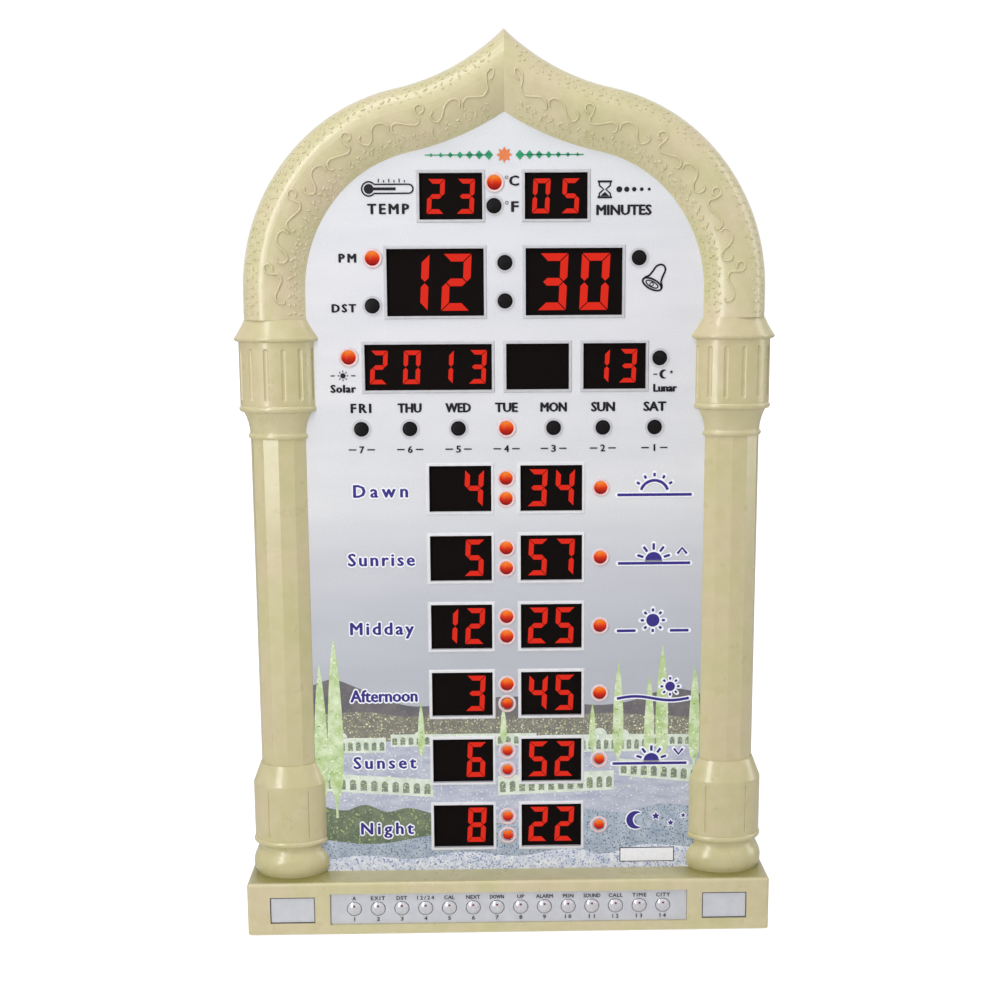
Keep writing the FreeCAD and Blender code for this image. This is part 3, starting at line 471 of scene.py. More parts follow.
def makeArchGrains(name, rows, leaf):
    # leaves or beads standing on guide points that carry their outward and forward directions and size
    tree, start, end = newTree(name, [("Flatness", "NodeSocketFloat", 0.5),
        ("Narrowness", "NodeSocketFloat", 0.5)])
    outward, forward, grow = (addNode(tree, "GeometryNodeInputNamedAttribute", {"Name": label}, data_type=kind)
        for label, kind in (("outward", "FLOAT_VECTOR"), ("forward", "FLOAT_VECTOR"), ("grow", "FLOAT")))
    stand = addNode(tree, "FunctionNodeAlignRotationToVector", {"Vector": outward}, axis="Z")
    face = addNode(tree, "FunctionNodeAlignRotationToVector", {"Rotation": stand, "Vector": forward},
        axis="X", pivot_axis="Z")
    ball = addNode(tree, "GeometryNodeMeshIcoSphere", {"Radius": 1.0, "Subdivisions": 2})
    shape = addNode(tree, "ShaderNodeCombineXYZ",
        {"X": 1.0, "Y": start.outputs["Narrowness"], "Z": start.outputs["Flatness"]})
    grain = addNode(tree, "GeometryNodeTransform", {"Geometry": ball, "Scale": shape})
    points = addNode(tree, "GeometryNodeMeshToPoints", {"Mesh": start})
    placed = addNode(tree, "GeometryNodeInstanceOnPoints", {"Points": points, "Scale": grow, "Instance": grain,
        "Rotation": face})
    endTree(tree, end, placed, stippledLacquer)
    spread = random.Random(ornament["seed"])
    places, outwards, forwards, sizes = [], [], [], []
    for side in (-1, 1):
        for row in rows:
            inset, spacing, size = row[0], row[1], row[-1]
            lean = math.radians(row[2]) if leaf else 0.0
            for i in range(int((bandLength(inset) - ornament["endGap"]) / spacing)):
                a = ornament["startAlong"] + i * spacing + spread.uniform(-0.4, 0.4)
                place, out = bandPlace(side, a, inset + spread.uniform(-0.3, 0.3))
                ahead = (bandPlace(side, a + 0.5, inset)[0] - place).normalized()
                across = out.cross(ahead)
                turn = lean * (1 if i % 2 else -1) + spread.uniform(-0.3, 0.3)
                places.append(place * mm)
                outwards.append(out)
                forwards.append(ahead * math.cos(turn) + across * math.sin(turn))
                sizes.append(size * spread.uniform(0.8, 1.15) * (0.5 if leaf else 1.0) * mm)
    growPiece(name, tree, ornament["leafForm" if leaf else "beadForm"], places,
        numbers={"grow": sizes}, directions={"outward": outwards, "forward": forwards})


print("arch ornament")
makeArchStems()
makeArchGrains("archLeaves", ornament["leafRows"], True)
makeArchGrains("archBeads", ornament["beadRows"], False)


# Print: every ink is one mesh of thin closed slabs on the sheet. Places are (x, z) in mm.
filmThick = 0.02
inks = {name: bmesh.new() for name in inkMaterials}
lifts = {"halo": 0.14, "ink": 0.17, "copyStep": 0.002, "haloStep": 0.001}   # off the sheet, and between copies


def ringOf(x, z, r, count):
    return [polar(x, z, r, 2 * math.pi * i / count) for i in range(count)]


def arcOf(x, z, r, fromDegrees, toDegrees, count):
    angles = [math.radians(fromDegrees + (toDegrees - fromDegrees) * i / count) for i in range(count + 1)]
    return [polar(x, z, r, angle) for angle in angles]


def rectangle(x0, x1, z0, z1, inset=0.0):
    return [(x0 + inset, z0 + inset), (x1 - inset, z0 + inset), (x1 - inset, z1 - inset),
        (x0 + inset, z1 - inset)]


def slab(target, outline, frontY):
    front = [target.verts.new((x * mm, frontY * mm, z * mm)) for x, z in outline]
    back = [target.verts.new((x * mm, (frontY + filmThick) * mm, z * mm)) for x, z in outline]
    target.faces.new(front)
    target.faces.new(list(reversed(back)))
    for i in range(len(outline)):
        j = (i + 1) % len(outline)
        target.faces.new((front[j], front[i], back[i], back[j]))


def ribbon(target, line, width, frontY, closed=False):   # a stroke of one width along the line
    count = len(line)
    sides = []
    for i, (x, z) in enumerate(line):
        before = line[i - 1] if i > 0 or closed else line[i]
        after = line[(i + 1) % count] if i < count - 1 or closed else line[i]
        direction = Vector((after[0] - before[0], after[1] - before[1])).normalized()
        offset = Vector((-direction.y, direction.x)) * (width / 2)
        sides.append([(x + offset.x, z + offset.y), (x - offset.x, z - offset.y)])
    corners = []
    for (ax, az), (bx, bz) in sides:
        backY = frontY + filmThick
        places = ((ax, frontY, az), (bx, frontY, bz), (bx, backY, bz), (ax, backY, az))
        corners.append([target.verts.new(Vector(place) * mm) for place in places])
    for i in range(count if closed else count - 1):
        one, two = corners[i], corners[(i + 1) % count]
        for k in range(4):
            target.faces.new((one[k], two[k], two[(k + 1) % 4], one[(k + 1) % 4]))
    if not closed:
        target.faces.new(list(reversed(corners[0])))
        target.faces.new(corners[-1])


def stroke(ink, line, width, halo=0.0, closed=False, faceY=dialY):
    ribbon(inks[ink], line, width, faceY - lifts["ink"], closed)
    if halo:
        ribbon(inks["halo"], line, width + 2 * halo, dialY - lifts["halo"], closed)
        if not closed:
            for x, z in (line[0], line[-1]):
                slab(inks["halo"], ringOf(x, z, width / 2 + halo, 12),
                    dialY - lifts["halo"] + lifts["copyStep"])


def patch(ink, outline, halo=0.0):
    slab(inks[ink], outline, dialY - lifts["ink"])
    if halo:
        ribbon(inks["halo"], outline, 2 * halo, dialY - lifts["halo"], closed=True)


def letterMesh(words, spacing):
    curve = bpy.data.curves.new("letters", "FONT")
    curve.body, curve.extrude, curve.space_character = words, 0.5, spacing
    curve.resolution_u = 2
    letters = placeObject("letters", curve)
    mesh = plainMesh(letters)
    bpy.data.objects.remove(letters)
    bpy.data.curves.remove(curve)
    return mesh


def spanOf(mesh, axis):
    values = [vertex.co[axis] for vertex in mesh.vertices]
    return min(values), max(values)


capSpan = spanOf(letterMesh("H", 1.0), 1)[1]


def stamp(ink, letters, lowX, scaleX, x, z, scaleZ, frontY):
    mesh = letters.copy()
    mesh.transform(Matrix(((scaleX * mm, 0, 0, (x - lowX * scaleX) * mm),
        (0, 0, -filmThick * mm, (frontY + filmThick / 2) * mm), (0, scaleZ * mm, 0, z * mm), (0, 0, 0, 1))))
    inks[ink].from_mesh(mesh)
    bpy.data.meshes.remove(mesh)


def word(ink, words, x, z, cap, width, bold, halo=0.0, faceY=dialY):
    # centred on x, with capitals from z to z + cap; letters are spread first and squeezed only if they must be.
    # The letters are laid several times, bold mm apart, to thicken them, and round a circle for the halo.
    scale = (cap - bold) / capSpan
    tight, loose = (spanOf(letterMesh(words, spacing), 0) for spacing in (1.0, 1.5))
    tightWide, looseWide = ((high - low) * scale for low, high in (tight, loose))
    spacing = 1.0
    if len(words) > 1 and width - 2 * bold > tightWide:
        spacing = min(1.5, 1.0 + 0.5 * (width - 2 * bold - tightWide) / max(looseWide - tightWide, 0.01))
    letters = letterMesh(words, spacing)
    low, high = spanOf(letters, 0)
    scaleX = min((width - 2 * bold) / (high - low), scale * 1.2)
    left, foot = x - (high - low) * scaleX / 2, z + bold / 2
    front = faceY - lifts["ink"]
    for i, (dx, dz) in enumerate(((-1, 0), (1, 0), (0, 0.5), (0, -0.5), (-0.5, 0.3), (0.5, -0.3))):
        stamp(ink, letters, low, scaleX, left + dx * bold, foot + dz * bold, scale,
            front - lifts["copyStep"] * i)
    for i in range(12 if halo else 0):
        dx, dz = ringOf(0.0, 0.0, halo + bold, 12)[i]
        y = dialY - lifts["halo"] + lifts["haloStep"] * i
        stamp("halo", letters, low, scaleX, left + dx, foot + dz, scale, y)
    bpy.data.meshes.remove(letters)


labels = {
    "black": [   # words, centre x, baseline z, capital height, width
        ("TEMP", -45.0, 291.3, 4.0, 16.3), ("MINUTES", 46.3, 290.5, 4.0, 21.6), ("PM", -61.2, 272.9, 3.5, 7.0),
        ("DST", -63.0, 253.7, 3.3, 9.7), ("Solar", -64.0, 222.3, 3.2, 10.2), ("Lunar", 63.2, 221.8, 3.2, 9.6),
        ("C", 3.7, 301.8, 3.9, 4.0), ("F", 4.0, 291.9, 4.1, 3.2)],
    "degrees": ((0.8, 305.0), (0.9, 295.4)), "degreeRadius": 0.55, "degreeLine": 0.22, "bold": 0.27,
    "weekdays": [   # words, centre x, width
        ("FRI", -57.2, 8.3), ("THU", -38.0, 9.6), ("WED", -18.8, 10.2), ("TUE", 0.3, 9.2), ("MON", 19.0, 10.6),
        ("SUN", 38.6, 9.6), ("SAT", 59.2, 9.2)],
    "weekdayZ": 214.2, "weekdayCap": 3.8, "numberZ": 198.2, "numberCap": 2.8, "numberWidth": 2.0,
    "numberBold": 0.14, "dashFrom": 2.2, "dashTo": 5.2, "dashRise": 1.4, "dashLine": 0.5,
    "rows": [("Dawn", -50.1, 180.3, 22.0), ("Sunrise", -50.3, 152.4, 27.0), ("Midday", -50.6, 123.9, 26.0),
        ("Afternoon", -50.4, 95.6, 27.6), ("Sunset", -50.5, 67.1, 26.0), ("Night", -50.0, 38.6, 22.0)],
    "rowCap": 5.2, "rowBold": 0.26, "rowHalo": 0.5,
}


def printWords():
    for words, x, z, cap, width in labels["black"]:
        word("black", words, x, z, cap, width, labels["bold"])
    for x, z in labels["degrees"]:
        stroke("black", ringOf(x, z, labels["degreeRadius"], 14), labels["degreeLine"], closed=True)
    z, dashZ = labels["numberZ"], labels["numberZ"] + labels["dashRise"]
    for i, (words, x, width) in enumerate(labels["weekdays"]):
        word("black", words, x, labels["weekdayZ"], labels["weekdayCap"], width, labels["bold"])
        number = str(len(labels["weekdays"]) - i)
        word("black", number, x, z, labels["numberCap"], labels["numberWidth"], labels["numberBold"])
        for side in (-1, 1):
            dash = [(x + side * labels[end], dashZ) for end in ("dashFrom", "dashTo")]
            stroke("black", dash, labels["dashLine"])
    for words, x, z, width in labels["rows"]:
        word("violet", words, x, z, labels["rowCap"], width, labels["rowBold"], labels["rowHalo"])


# Small drawings beside the labels
drawings = {
    "line": 0.6, "thin": 0.45, "rowLine": 1.15, "rowHalo": 0.5, "rowX": 59.4,
    "dawnRays": (35, 62, 90, 118, 145),
    "nightStars": ((61.6, 45.2, 1.9), (67.8, 42.2, 1.5), (73.0, 45.4, 1.2)),   # x, z, radius
    "glassSide": [(2.2, 297.7), (2.1, 298.8), (0.4, 300.3), (2.1, 301.8), (2.2, 302.9)],
    "hourglassX": 38.8, "dotX": 44.4, "dotPitch": 2.9, "dotRadius": 1.15, "dotShrink": 0.14,
    "bellX": 59.0, "bellZ": 267.0, "bellTilt": -28, "bellLine": 0.72,
    "bell": [(-3.9, -3.4), (-3.5, -2.2), (-2.5, -0.9), (-2.0, 1.2), (-1.7, 3.4), (-0.4, 4.9), (1.2, 4.9),
        (2.2, 3.6), (2.4, 1.2), (2.8, -0.9), (3.9, -2.2), (4.2, -3.4)],
    "lozengeX": 6.0, "lozengePitch": 3.7, "lozengeRadius": 1.9, "lozengeShrink": 0.19,
}


def drawSun(ink, x, z, r, rays, rayLength, line, halo=0.0, upper=False):
    turns = [180 * (i + 0.5) / rays for i in range(rays)] if upper else [360 * i / rays for i in range(rays)]
    patch(ink, arcOf(x, z, r, 0, 180, 14) if upper else ringOf(x, z, r, 22), halo)
    near = r + line * 0.9
    for turn in turns:
        stroke(ink, [polar(x, z, reach, math.radians(turn)) for reach in (near, near + rayLength)], line, halo)


def drawCrescent(ink, x, z, r, halo=0.0):
    outer = arcOf(x, z, r, 55, 305, 20)
    inner = arcOf(x + r * 0.48, z, r * 0.78, 282, 78, 16)
    patch(ink, outer + inner[1:-1], halo)


def drawStar(ink, x, z, r, points, halo=0.0, inner=0.45):
    turns = [math.pi / 2 + math.pi * i / points for i in range(points * 2)]
    patch(ink, [polar(x, z, r * inner if i % 2 else r, turn) for i, turn in enumerate(turns)], halo)


def rowStroke(line, share=1.0):
    stroke("violet", line, drawings["rowLine"] * share, drawings["rowHalo"])


def drawHorizon(z, x0, x1, rise=0.0):
    rowStroke([(x0 + (x1 - x0) * i / 20, z + rise * math.sin(math.pi * 2 * i / 20)) for i in range(21)])


def printRowDrawings():
    line, halo, x = drawings["rowLine"], drawings["rowHalo"], drawings["rowX"]
    # dawn: a low arc of light over a long line
    drawHorizon(180.6, 44.6, 74.4)
    rowStroke(arcOf(x, 180.8, 5.6, 18, 162, 16))
    for turn in drawings["dawnRays"]:
        rowStroke([polar(x, 180.8, reach, math.radians(turn)) for reach in (7.2, 8.6)], 0.9)
    # sunrise: half a sun and a mark upward
    drawHorizon(152.6, 45.0, 74.2)
    drawSun("violet", x, 153.8, 3.4, 5, 2.6, line * 0.9, halo, upper=True)
    rowStroke([(69.0, 156.4), (70.9, 158.8), (72.8, 156.4)], 0.85)
    # midday: a whole sun, high
    drawSun("violet", x, 128.9, 2.7, 8, 1.3, line * 0.9, halo)
    for side in (-1, 1):
        rowStroke([(x + side * 7.0, 124.6), (x + side * 14.6, 124.6)])
    # afternoon: the sun past its height, over a slope
    drawHorizon(96.0, 45.0, 74.6, 0.9)
    drawSun("violet", 66.8, 101.0, 2.0, 8, 1.1, line * 0.8, halo)
    # sunset: half a sun and a mark downward
    drawHorizon(68.2, 43.4, 74.0)
    drawSun("violet", x, 69.4, 3.2, 5, 2.3, line * 0.9, halo, upper=True)
    rowStroke([(68.8, 74.4), (70.6, 72.0), (72.4, 74.4)], 0.85)
    # night: crescent and stars
    drawCrescent("violet", 53.2, 43.6, 3.9, halo)
    for starX, z, r in drawings["nightStars"]:
        drawStar("violet", starX, z, r, 5, halo)


def drawThermometer():   # lying down, over its word
    patch("black", ringOf(-52.4, 300.9, 1.9, 20))
    stroke("black", arcOf(-52.4, 300.9, 2.7, 40, 320, 18) + [(-37.2, 299.2)]
        + arcOf(-37.0, 300.9, 1.7, -90, 90, 8) + [(-50.3, 302.6)], drawings["line"])
    stroke("black", [(-51.0, 300.9), (-42.0, 300.9)], 1.1)
    for i in range(6):
        x = -48.6 + i * 2.0
        stroke("black", [(x, 303.3), (x, 304.2 if i % 2 else 304.7)], drawings["thin"])


def drawHourglass():   # and a run of shrinking dots
    x = drawings["hourglassX"]
    for z in (297.3, 303.3):
        stroke("black", [(36.0, z), (41.6, z)], 0.8)
    for side in (-1, 1):
        stroke("black", [(x + side * out, z) for out, z in drawings["glassSide"]], drawings["line"])
    patch("black", [(37.1, 297.8), (40.5, 297.8), (x, 299.4)])
    for i in range(5):
        r = drawings["dotRadius"] - drawings["dotShrink"] * i
        patch("black", ringOf(drawings["dotX"] + i * drawings["dotPitch"], 300.3, r, 16))


def drawBell():
    tilt = math.radians(drawings["bellTilt"])

    def tipped(points):
        return [(drawings["bellX"] + x * math.cos(tilt) - z * math.sin(tilt),
            drawings["bellZ"] + x * math.sin(tilt) + z * math.cos(tilt)) for x, z in points]

    mouth = ringOf(0.0, 0.0, 1.0, 20)
    stroke("black", smoothLine(tipped(drawings["bell"]), 4), drawings["bellLine"])
    stroke("black", tipped([(0.1 + 4.05 * x, -3.4 + 1.9 * z) for x, z in mouth]), drawings["bellLine"],
        closed=True)
    stroke("black", tipped([(0.1 + 2.6 * x, -3.4 + 1.05 * z) for x, z in mouth]), 0.5, closed=True)
    clapper = tipped([(0.0, -3.5)])[0]
    stroke("black", ringOf(*clapper, 0.7, 12), 0.35, closed=True)


def drawCalendarSigns():   # sun and crescent over the two calendar words
    thin = drawings["thin"]
    drawSun("black", -64.0, 229.0, 1.05, 8, 0.7, 0.4)
    for side in (-1, 1):
        stroke("black", [(-64.0 + side * 3.2, 229.0), (-64.0 + side * 4.9, 229.0)], thin)
    drawCrescent("black", 62.6, 228.8, 1.8)
    drawStar("black", 65.6, 229.6, 0.8, 5)
    stroke("black", [(58.4, 228.8), (60.0, 228.8)], thin)


def printTopLine():   # a star between two tapering rows of lozenges
    z = 313.5
    drawStar("orange", 0.0, z, 3.1, 8, inner=0.62)
    for side in (-1, 1):
        for i in range(7):
            x = side * (drawings["lozengeX"] + i * drawings["lozengePitch"])
            r = drawings["lozengeRadius"] - drawings["lozengeShrink"] * i
            patch("green", [(x - r * 0.9, z), (x, z - r), (x + r * 0.9, z), (x, z + r)])
        stroke("green", [(side * 5.0, z), (side * 30.6, z)], drawings["thin"])


keyLegends = {
    "names": ("A", "EXIT", "DST", "12/24", "CAL", "NEXT", "DOWN", "UP", "ALARM", "MIN", "SOUND", "CALL",
        "TIME", "CITY"),
    "nameZ": 14.75, "numberZ": 5.7, "cap": 1.65, "widest": 7.0, "letterWidth": 1.45, "figureWidth": 1.3,
    # the last width is that of the painted shadow lines round the blank plates
    "bold": 0.06, "plateShadowLine": 0.4,
}


def printKeyLegends():
    cap, bold = keyLegends["cap"], keyLegends["bold"]
    for i, (name, text) in enumerate(zip(keyNames, keyLegends["names"])):
        x, number = keyXs[name], str(i + 1)
        width = min(keyLegends["widest"], keyLegends["letterWidth"] * len(text))
        word("keyLegendAndShadow", text, x, keyLegends["nameZ"], cap, width, bold, faceY=panelY)
        width = keyLegends["figureWidth"] * len(number)
        word("keyLegendAndShadow", number, x, keyLegends["numberZ"], cap, width, bold, faceY=panelY)


def paintPlateEdgeShadows():   # painted shadow: a fine dark line just inside the edge of each blank plate, for the shade in the gap round it
    line = keyLegends["plateShadowLine"]
    for name in ("left_blank_plate", "right_blank_plate"):
        low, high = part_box(name)
        edges = (value / mm for value in (low.x, high.x, low.z, high.z))
        stroke("keyLegendAndShadow", rectangle(*edges, inset=line / 2), line, closed=True, faceY=low.y / mm)


def finishInk(name, target, material):
    bmesh.ops.recalc_face_normals(target, faces=target.faces)
    bmesh.ops.triangulate(target, faces=[face for face in target.faces if len(face.verts) > 4])
    mesh = bpy.data.meshes.new(name)
    target.to_mesh(mesh)
    target.free()
    mesh.materials.clear()
    mesh.materials.append(material)
    mountPiece(placeObject(name, mesh), "root")


print("printed labels")
printWords()
printRowDrawings()
drawThermometer()
drawHourglass()
drawBell()
drawCalendarSigns()
printTopLine()
printKeyLegends()
paintPlateEdgeShadows()
for name, target in inks.items():
    finishInk(name + "Print", target, inkMaterials[name])


# Picture printed behind the lower rows: hills, a town's lights, arcades, gardens and a gravel bank
windows = {"xs": (-18.3, 18.1), "topZ": 183.6, "pitch": 28.36, "half": (12.9, 9.8), "rows": 6}
picture = {
    "left": -79.2, "right": 79.2, "low": 22.0, "sheetTop": 260.0,
    "seed": 11, "lights": 90, "lightZ": ((56, 66), (80, 90)), "lightRadius": (0.18, 0.42),
    "domes": ((-68, 2.2), (-36, 2.4), (38, 3.0), (48, 2.2)), "domeZ": 80.6,   # centre x, radius
    "poplars": [   # centre x, foot z, top z, width
        (-76.6, 46, 112, 5.6), (-70.6, 46, 123, 6.4), (-35.4, 70, 95, 2.8), (-1.6, 76, 93, 2.6),
        (35.0, 72, 94, 2.8), (45.6, 66, 112, 4.4), (58.4, 64, 106, 4.2), (63.6, 64, 119, 5.2),
        (77.0, 64, 110, 4.6)],
    "poplarSide": [(0.16, 0.0), (0.2, 0.1), (0.85, 0.2), (1.0, 0.42), (0.8, 0.66), (0.45, 0.86), (0.0, 1.0)],
}
rowZs = [windows["topZ"] - windows["pitch"] * k for k in range(windows["rows"])]


def freeRects():   # the sheet without the windows, as rectangles (x0, x1, z0, z1)
    halfX, halfZ = windows["half"]
    top = picture["sheetTop"]
    rects, x = [], picture["left"]
    for centre in windows["xs"]:
        rects.append((x, centre - halfX, 0.0, top))
        tops = [top] + [z - halfZ for z in rowZs]
        bottoms = [z + halfZ for z in rowZs] + [0.0]
        rects += [(centre - halfX, centre + halfX, lower, upper) for upper, lower in zip(tops, bottoms)]
        x = centre + halfX
    return rects + [(x, picture["right"], 0.0, top)]


def clipped(outline, rect):   # the part of an outline inside a rectangle
    x0, x1, z0, z1 = rect
    for axis, limit, keepAbove in ((0, x0, True), (0, x1, False), (1, z0, True), (1, z1, False)):
        kept = []
        for i, here in enumerate(outline):
            before = outline[i - 1]
            inHere, inBefore = ((p[axis] >= limit) if keepAbove else (p[axis] <= limit)
                for p in (here, before))
            if inHere != inBefore:
                t = (limit - before[axis]) / (here[axis] - before[axis])
                kept.append((before[0] + (here[0] - before[0]) * t, before[1] + (here[1] - before[1]) * t))
            if inHere:
                kept.append(here)
        outline = [p for p, q in zip(kept, kept[-1:] + kept) if abs(p[0] - q[0]) + abs(p[1] - q[1]) > 1e-4]
        if len(outline) < 3:
            return None
    return outline


pictureLayers = {}
sheetRects = freeRects()


def paint(layer, outline, lift):
    target = pictureLayers.setdefault(layer, bmesh.new())
    for rect in sheetRects:
        part = clipped(outline, rect)
        if part:
            slab(target, part, dialY - lift)


def makePrintedTone(name, ground, specks, speckMm, amount, cloudMm=6.0, stretch=(1, 1, 1)):
    # a printed tone of two close colours with small spots; amount is the share that the spots take
    material, tree, shader, coords = newMaterial(name)
    base = mottle(tree, coords, cloudMm, list(zip((0.3, 0.7), ground)), detail=4.0, stretch=stretch)
    spots = addNode(tree, "ShaderNodeTexNoise", {"Vector": coords, "Scale": 1 / (speckMm * mm), "Detail": 2.0})
    lot = addNode(tree, "ShaderNodeMapRange", {"Value": spots, "From Min": 0.68 - amount,
        "From Max": 0.73 - amount})
    speckTone = mottle(tree, coords, speckMm * 4, list(zip((0.4, 0.6), specks)), seedShift=1.3)
    tone = addNode(tree, "ShaderNodeMix", {"Factor": lot, 6: base, 7: speckTone}, data_type="RGBA")
    setInputs(tree, shader, {"Base Color": tone, "Roughness": 0.45, "Specular IOR Level": 0.3})
    return material


# name, two ground colours, two spot colours, mm across a spot, their share, mm across a cloud, and stretch
printedTones = {
    "farHills": ("printedHills", ("#605e66", "#757072"), ("#8a8478", "#7d776a"), 0.8, 0.06),
    "town": ("printedTownLights", ("#6f6e66", "#8f8c80"), ("#c4c88c", "#dcdcc0"), 0.8, 0.09, 3),
    "trees": ("printedTrees", ("#5a6655", "#77846c"), ("#93a368", "#b4be80"), 0.9, 0.08, 4),
    "poplar": ("printedPoplars", ("#a9c47c", "#dde8c8"), ("#86a860", "#eef4dc"), 1.0, 0.10, 4),
    "wall": ("printedPaleStone", ("#c6d2c4", "#e4ebe0"), ("#e4e8b0", "#f4f6e8"), 0.9, 0.07, 4),
    "arch": ("printedArches", ("#6b7a70", "#8c9a86"), ("#d0d490", "#e4e6b4"), 0.6, 0.10, 2),
    "court": ("printedPaving", ("#a6aabf", "#c2c6d1"), ("#d2d4dc", "#e6e7ec"), 1.0, 0.08, 6, (1, 1, 3)),
    "bank": ("printedGravelBank", ("#96a4b8", "#bcc6d1"), ("#5a667c", "#707c90"), 0.8, 0.12, 5),
    "flowers": ("printedFlowerBed", ("#c4cce0", "#eef0f6"), ("#7686b4", "#94a2cc"), 0.7, 0.12, 3),
    "light": ("printedLamps", ("#eef08a", "#fbfbe0"), ("#ffffff", "#ffffff"), 0.4, 0.1, 1),
}


def skyline(heights, low):   # a filled outline under points of (x, z), smoothed
    line = smoothLine(heights, 5)
    return line + [(line[-1][0], low), (line[0][0], low)]


def drawArcade(x0, x1, footZ, height, bays, slope=0.0):
    end = footZ + slope * (x1 - x0)
    paint("wall", [(x0, footZ), (x1, end), (x1, end + height), (x0, footZ + height)], 0.06)
    bay = (x1 - x0) / bays
    for i in range(bays):
        x, w = x0 + bay * (i + 0.5), bay * 0.3
        z = footZ + slope * (x - x0) + 0.15 * height
        top = z + 0.42 * height
        paint("arch", [(x - w, z), (x + w, z)] + arcOf(x, top, w, 0, 180, 8), 0.08)


def drawPoplar(x, footZ, topZ, width):
    tall = topZ - footZ
    right = [(x + w * width / 2, footZ + h * tall) for w, h in smoothLine(picture["poplarSide"], 4)]
    left = [(2 * x - px, pz) for px, pz in reversed(right[:-1])]
    paint("poplar", right + left, 0.10)


def drawPicture():
    left, right, low = picture["left"], picture["right"], picture["low"]
    place = random.Random(picture["seed"])
    paint("farHills", skyline([(left, 103.0), (-71, 105.4), (-61, 101.6), (-50, 96.8), (-38, 93.6),
        (-20, 94.8), (0, 97.4), (20, 95.8), (36, 93.4), (50, 94.8), (61, 98.6), (71, 99.8),
        (right, 97.8)], 74.0), 0.02)
    paint("town", skyline([(left, 90.0), (-60, 91.6), (-40, 89.2), (-20, 90.6), (0, 89.2), (20, 88.4),
        (40, 90.0), (60, 88.8), (right, 87.6)], 64.0), 0.04)
    paint("court", [(left, 30.0), (right, 30.0), (right, 78.0), (left, 79.0)], 0.05)
    drawArcade(left, -50, 74.0, 6.4, 9)
    drawArcade(-48, 12, 76.5, 5.2, 18)
    drawArcade(14, 58, 73.4, 7.4, 14)
    drawArcade(60, right, 75.6, 5.0, 6)
    for x, r in picture["domes"]:
        paint("wall", arcOf(x, picture["domeZ"], r, 0, 180, 14), 0.07)
    drawArcade(left, -31, 58.0, 7.6, 11, -0.07)
    drawArcade(-4.0, 44, 55.0, 8.4, 12, 0.04)
    drawArcade(46, right, 63.0, 7.4, 8, -0.10)
    paint("trees", skyline([(left, 52.0), (-68, 49.2), (-59, 51.6), (-50, 48.4), (-41, 50.0), (-30, 47.2),
        (-20, 46.0), (-10, 43.6), (2, 42.0)], 33.0), 0.08)
    paint("bank", skyline([(left, 37.0), (-56, 34.4), (-34, 37.6), (-10, 41.6), (12, 44.4), (32, 48.4),
        (48, 46.8), (64, 50.6), (right, 48.6)], low), 0.10)
    paint("flowers", skyline([(left, 27.0), (-60, 29.4), (-40, 27.6), (-18, 30.6), (4, 28.4), (26, 31.8),
        (40, 29.0), (58, 33.0), (right, 31.0)], low), 0.11)
    for x, footZ, topZ, width in picture["poplars"]:
        drawPoplar(x, footZ, topZ, width)
    for i in range(picture["lights"]):
        x, z = place.uniform(left, right), place.choice([place.uniform(*band) for band in picture["lightZ"]])
        paint("light", ringOf(x, z, place.uniform(*picture["lightRadius"]), 6), 0.12)


print("printed picture")
drawPicture()
for name, target in pictureLayers.items():
    finishInk(name + "Print", target, makePrintedTone(*printedTones[name]))


# Blank label plate, painted red light on the rings of lit lamps, and painted reflections on the keys
smallTrim = {
    "tag": (46.6, 69.4, 25.3, 31.6),   # x from, x to, z from, z to
    "tagLayers": (("tagEdge", "black", "halo", 0.0), ("tagBlank", "halo", "ink", 0.35)),
    "litModes": ((-3.9, 303.1), (-51.5, 274.5), (-61.6, 236.2), (0.3, 207.8)), "litRadius": 2.9,
    "rowRadius": 2.65, "ringWidth": 0.95, "colonHalf": 4.1, "markerX": 37.9, "bloomLift": 0.02,
    "keyDotRadius": 0.55, "keyDotRise": 1.25, "keyDotFlatness": 0.4, "keyDotSink": 0.28,
}


def makeTag():
    for name, ink, layer, inset in smallTrim["tagLayers"]:
        plate = bmesh.new()
        slab(plate, rectangle(*smallTrim["tag"], inset=inset), dialY - lifts[layer])
        finishInk(name, plate, inkMaterials[ink])


def makeRingBlooms():
    # a flat pink ring laid over each ring whose lamp is lit: painted light, the red glow that the lamp throws
    # on its ring
    tree, start, end = newTree("ringBlooms", [("Ring width", "NodeSocketFloat", 0.0009)])
    radius = addNode(tree, "GeometryNodeInputNamedAttribute", {"Name": "lensRadius"}, data_type="FLOAT")
    points = addNode(tree, "GeometryNodeMeshToPoints", {"Mesh": start})
    circle = addNode(tree, "GeometryNodeCurvePrimitiveCircle", {"Resolution": 40, "Radius": 1.0})
    band = addNode(tree, "GeometryNodeCurvePrimitiveQuadrilateral", {"Width": 0.3, "Height": 0.012})
    paintedGlowRing = addNode(tree, "GeometryNodeCurveToMesh", {"Curve": circle, "Profile Curve": band})
    reach = addNode(tree, "ShaderNodeMath", {0: radius, 1: start.outputs["Ring width"]}, operation="ADD")
    # the glow ring of radius 1 is 0.3 wide, so its rim is at 1.15
    size = addNode(tree, "ShaderNodeMath", {0: reach, 1: 1.15}, operation="DIVIDE")
    placed = addNode(tree, "GeometryNodeInstanceOnPoints",
        {"Points": points, "Instance": paintedGlowRing, "Rotation": (math.pi / 2, 0, 0), "Scale": size})
    endTree(tree, end, placed, plain["paintedRedLampLight"])
    places = [(x, z, smallTrim["litRadius"]) for x, z in smallTrim["litModes"]]
    for z in rowZs:
        places += [(x, z + dz * smallTrim["colonHalf"], smallTrim["rowRadius"])
            for x, dz in ((0.0, 1), (0.0, -1), (smallTrim["markerX"], 0))]
    y = (ringY - smallTrim["bloomLift"]) * mm
    growPiece("ringBlooms", tree, {"Ring width": smallTrim["ringWidth"] * mm},
        [(x * mm, y, z * mm) for x, z, r in places], numbers={"lensRadius": [r * mm for x, z, r in places]})


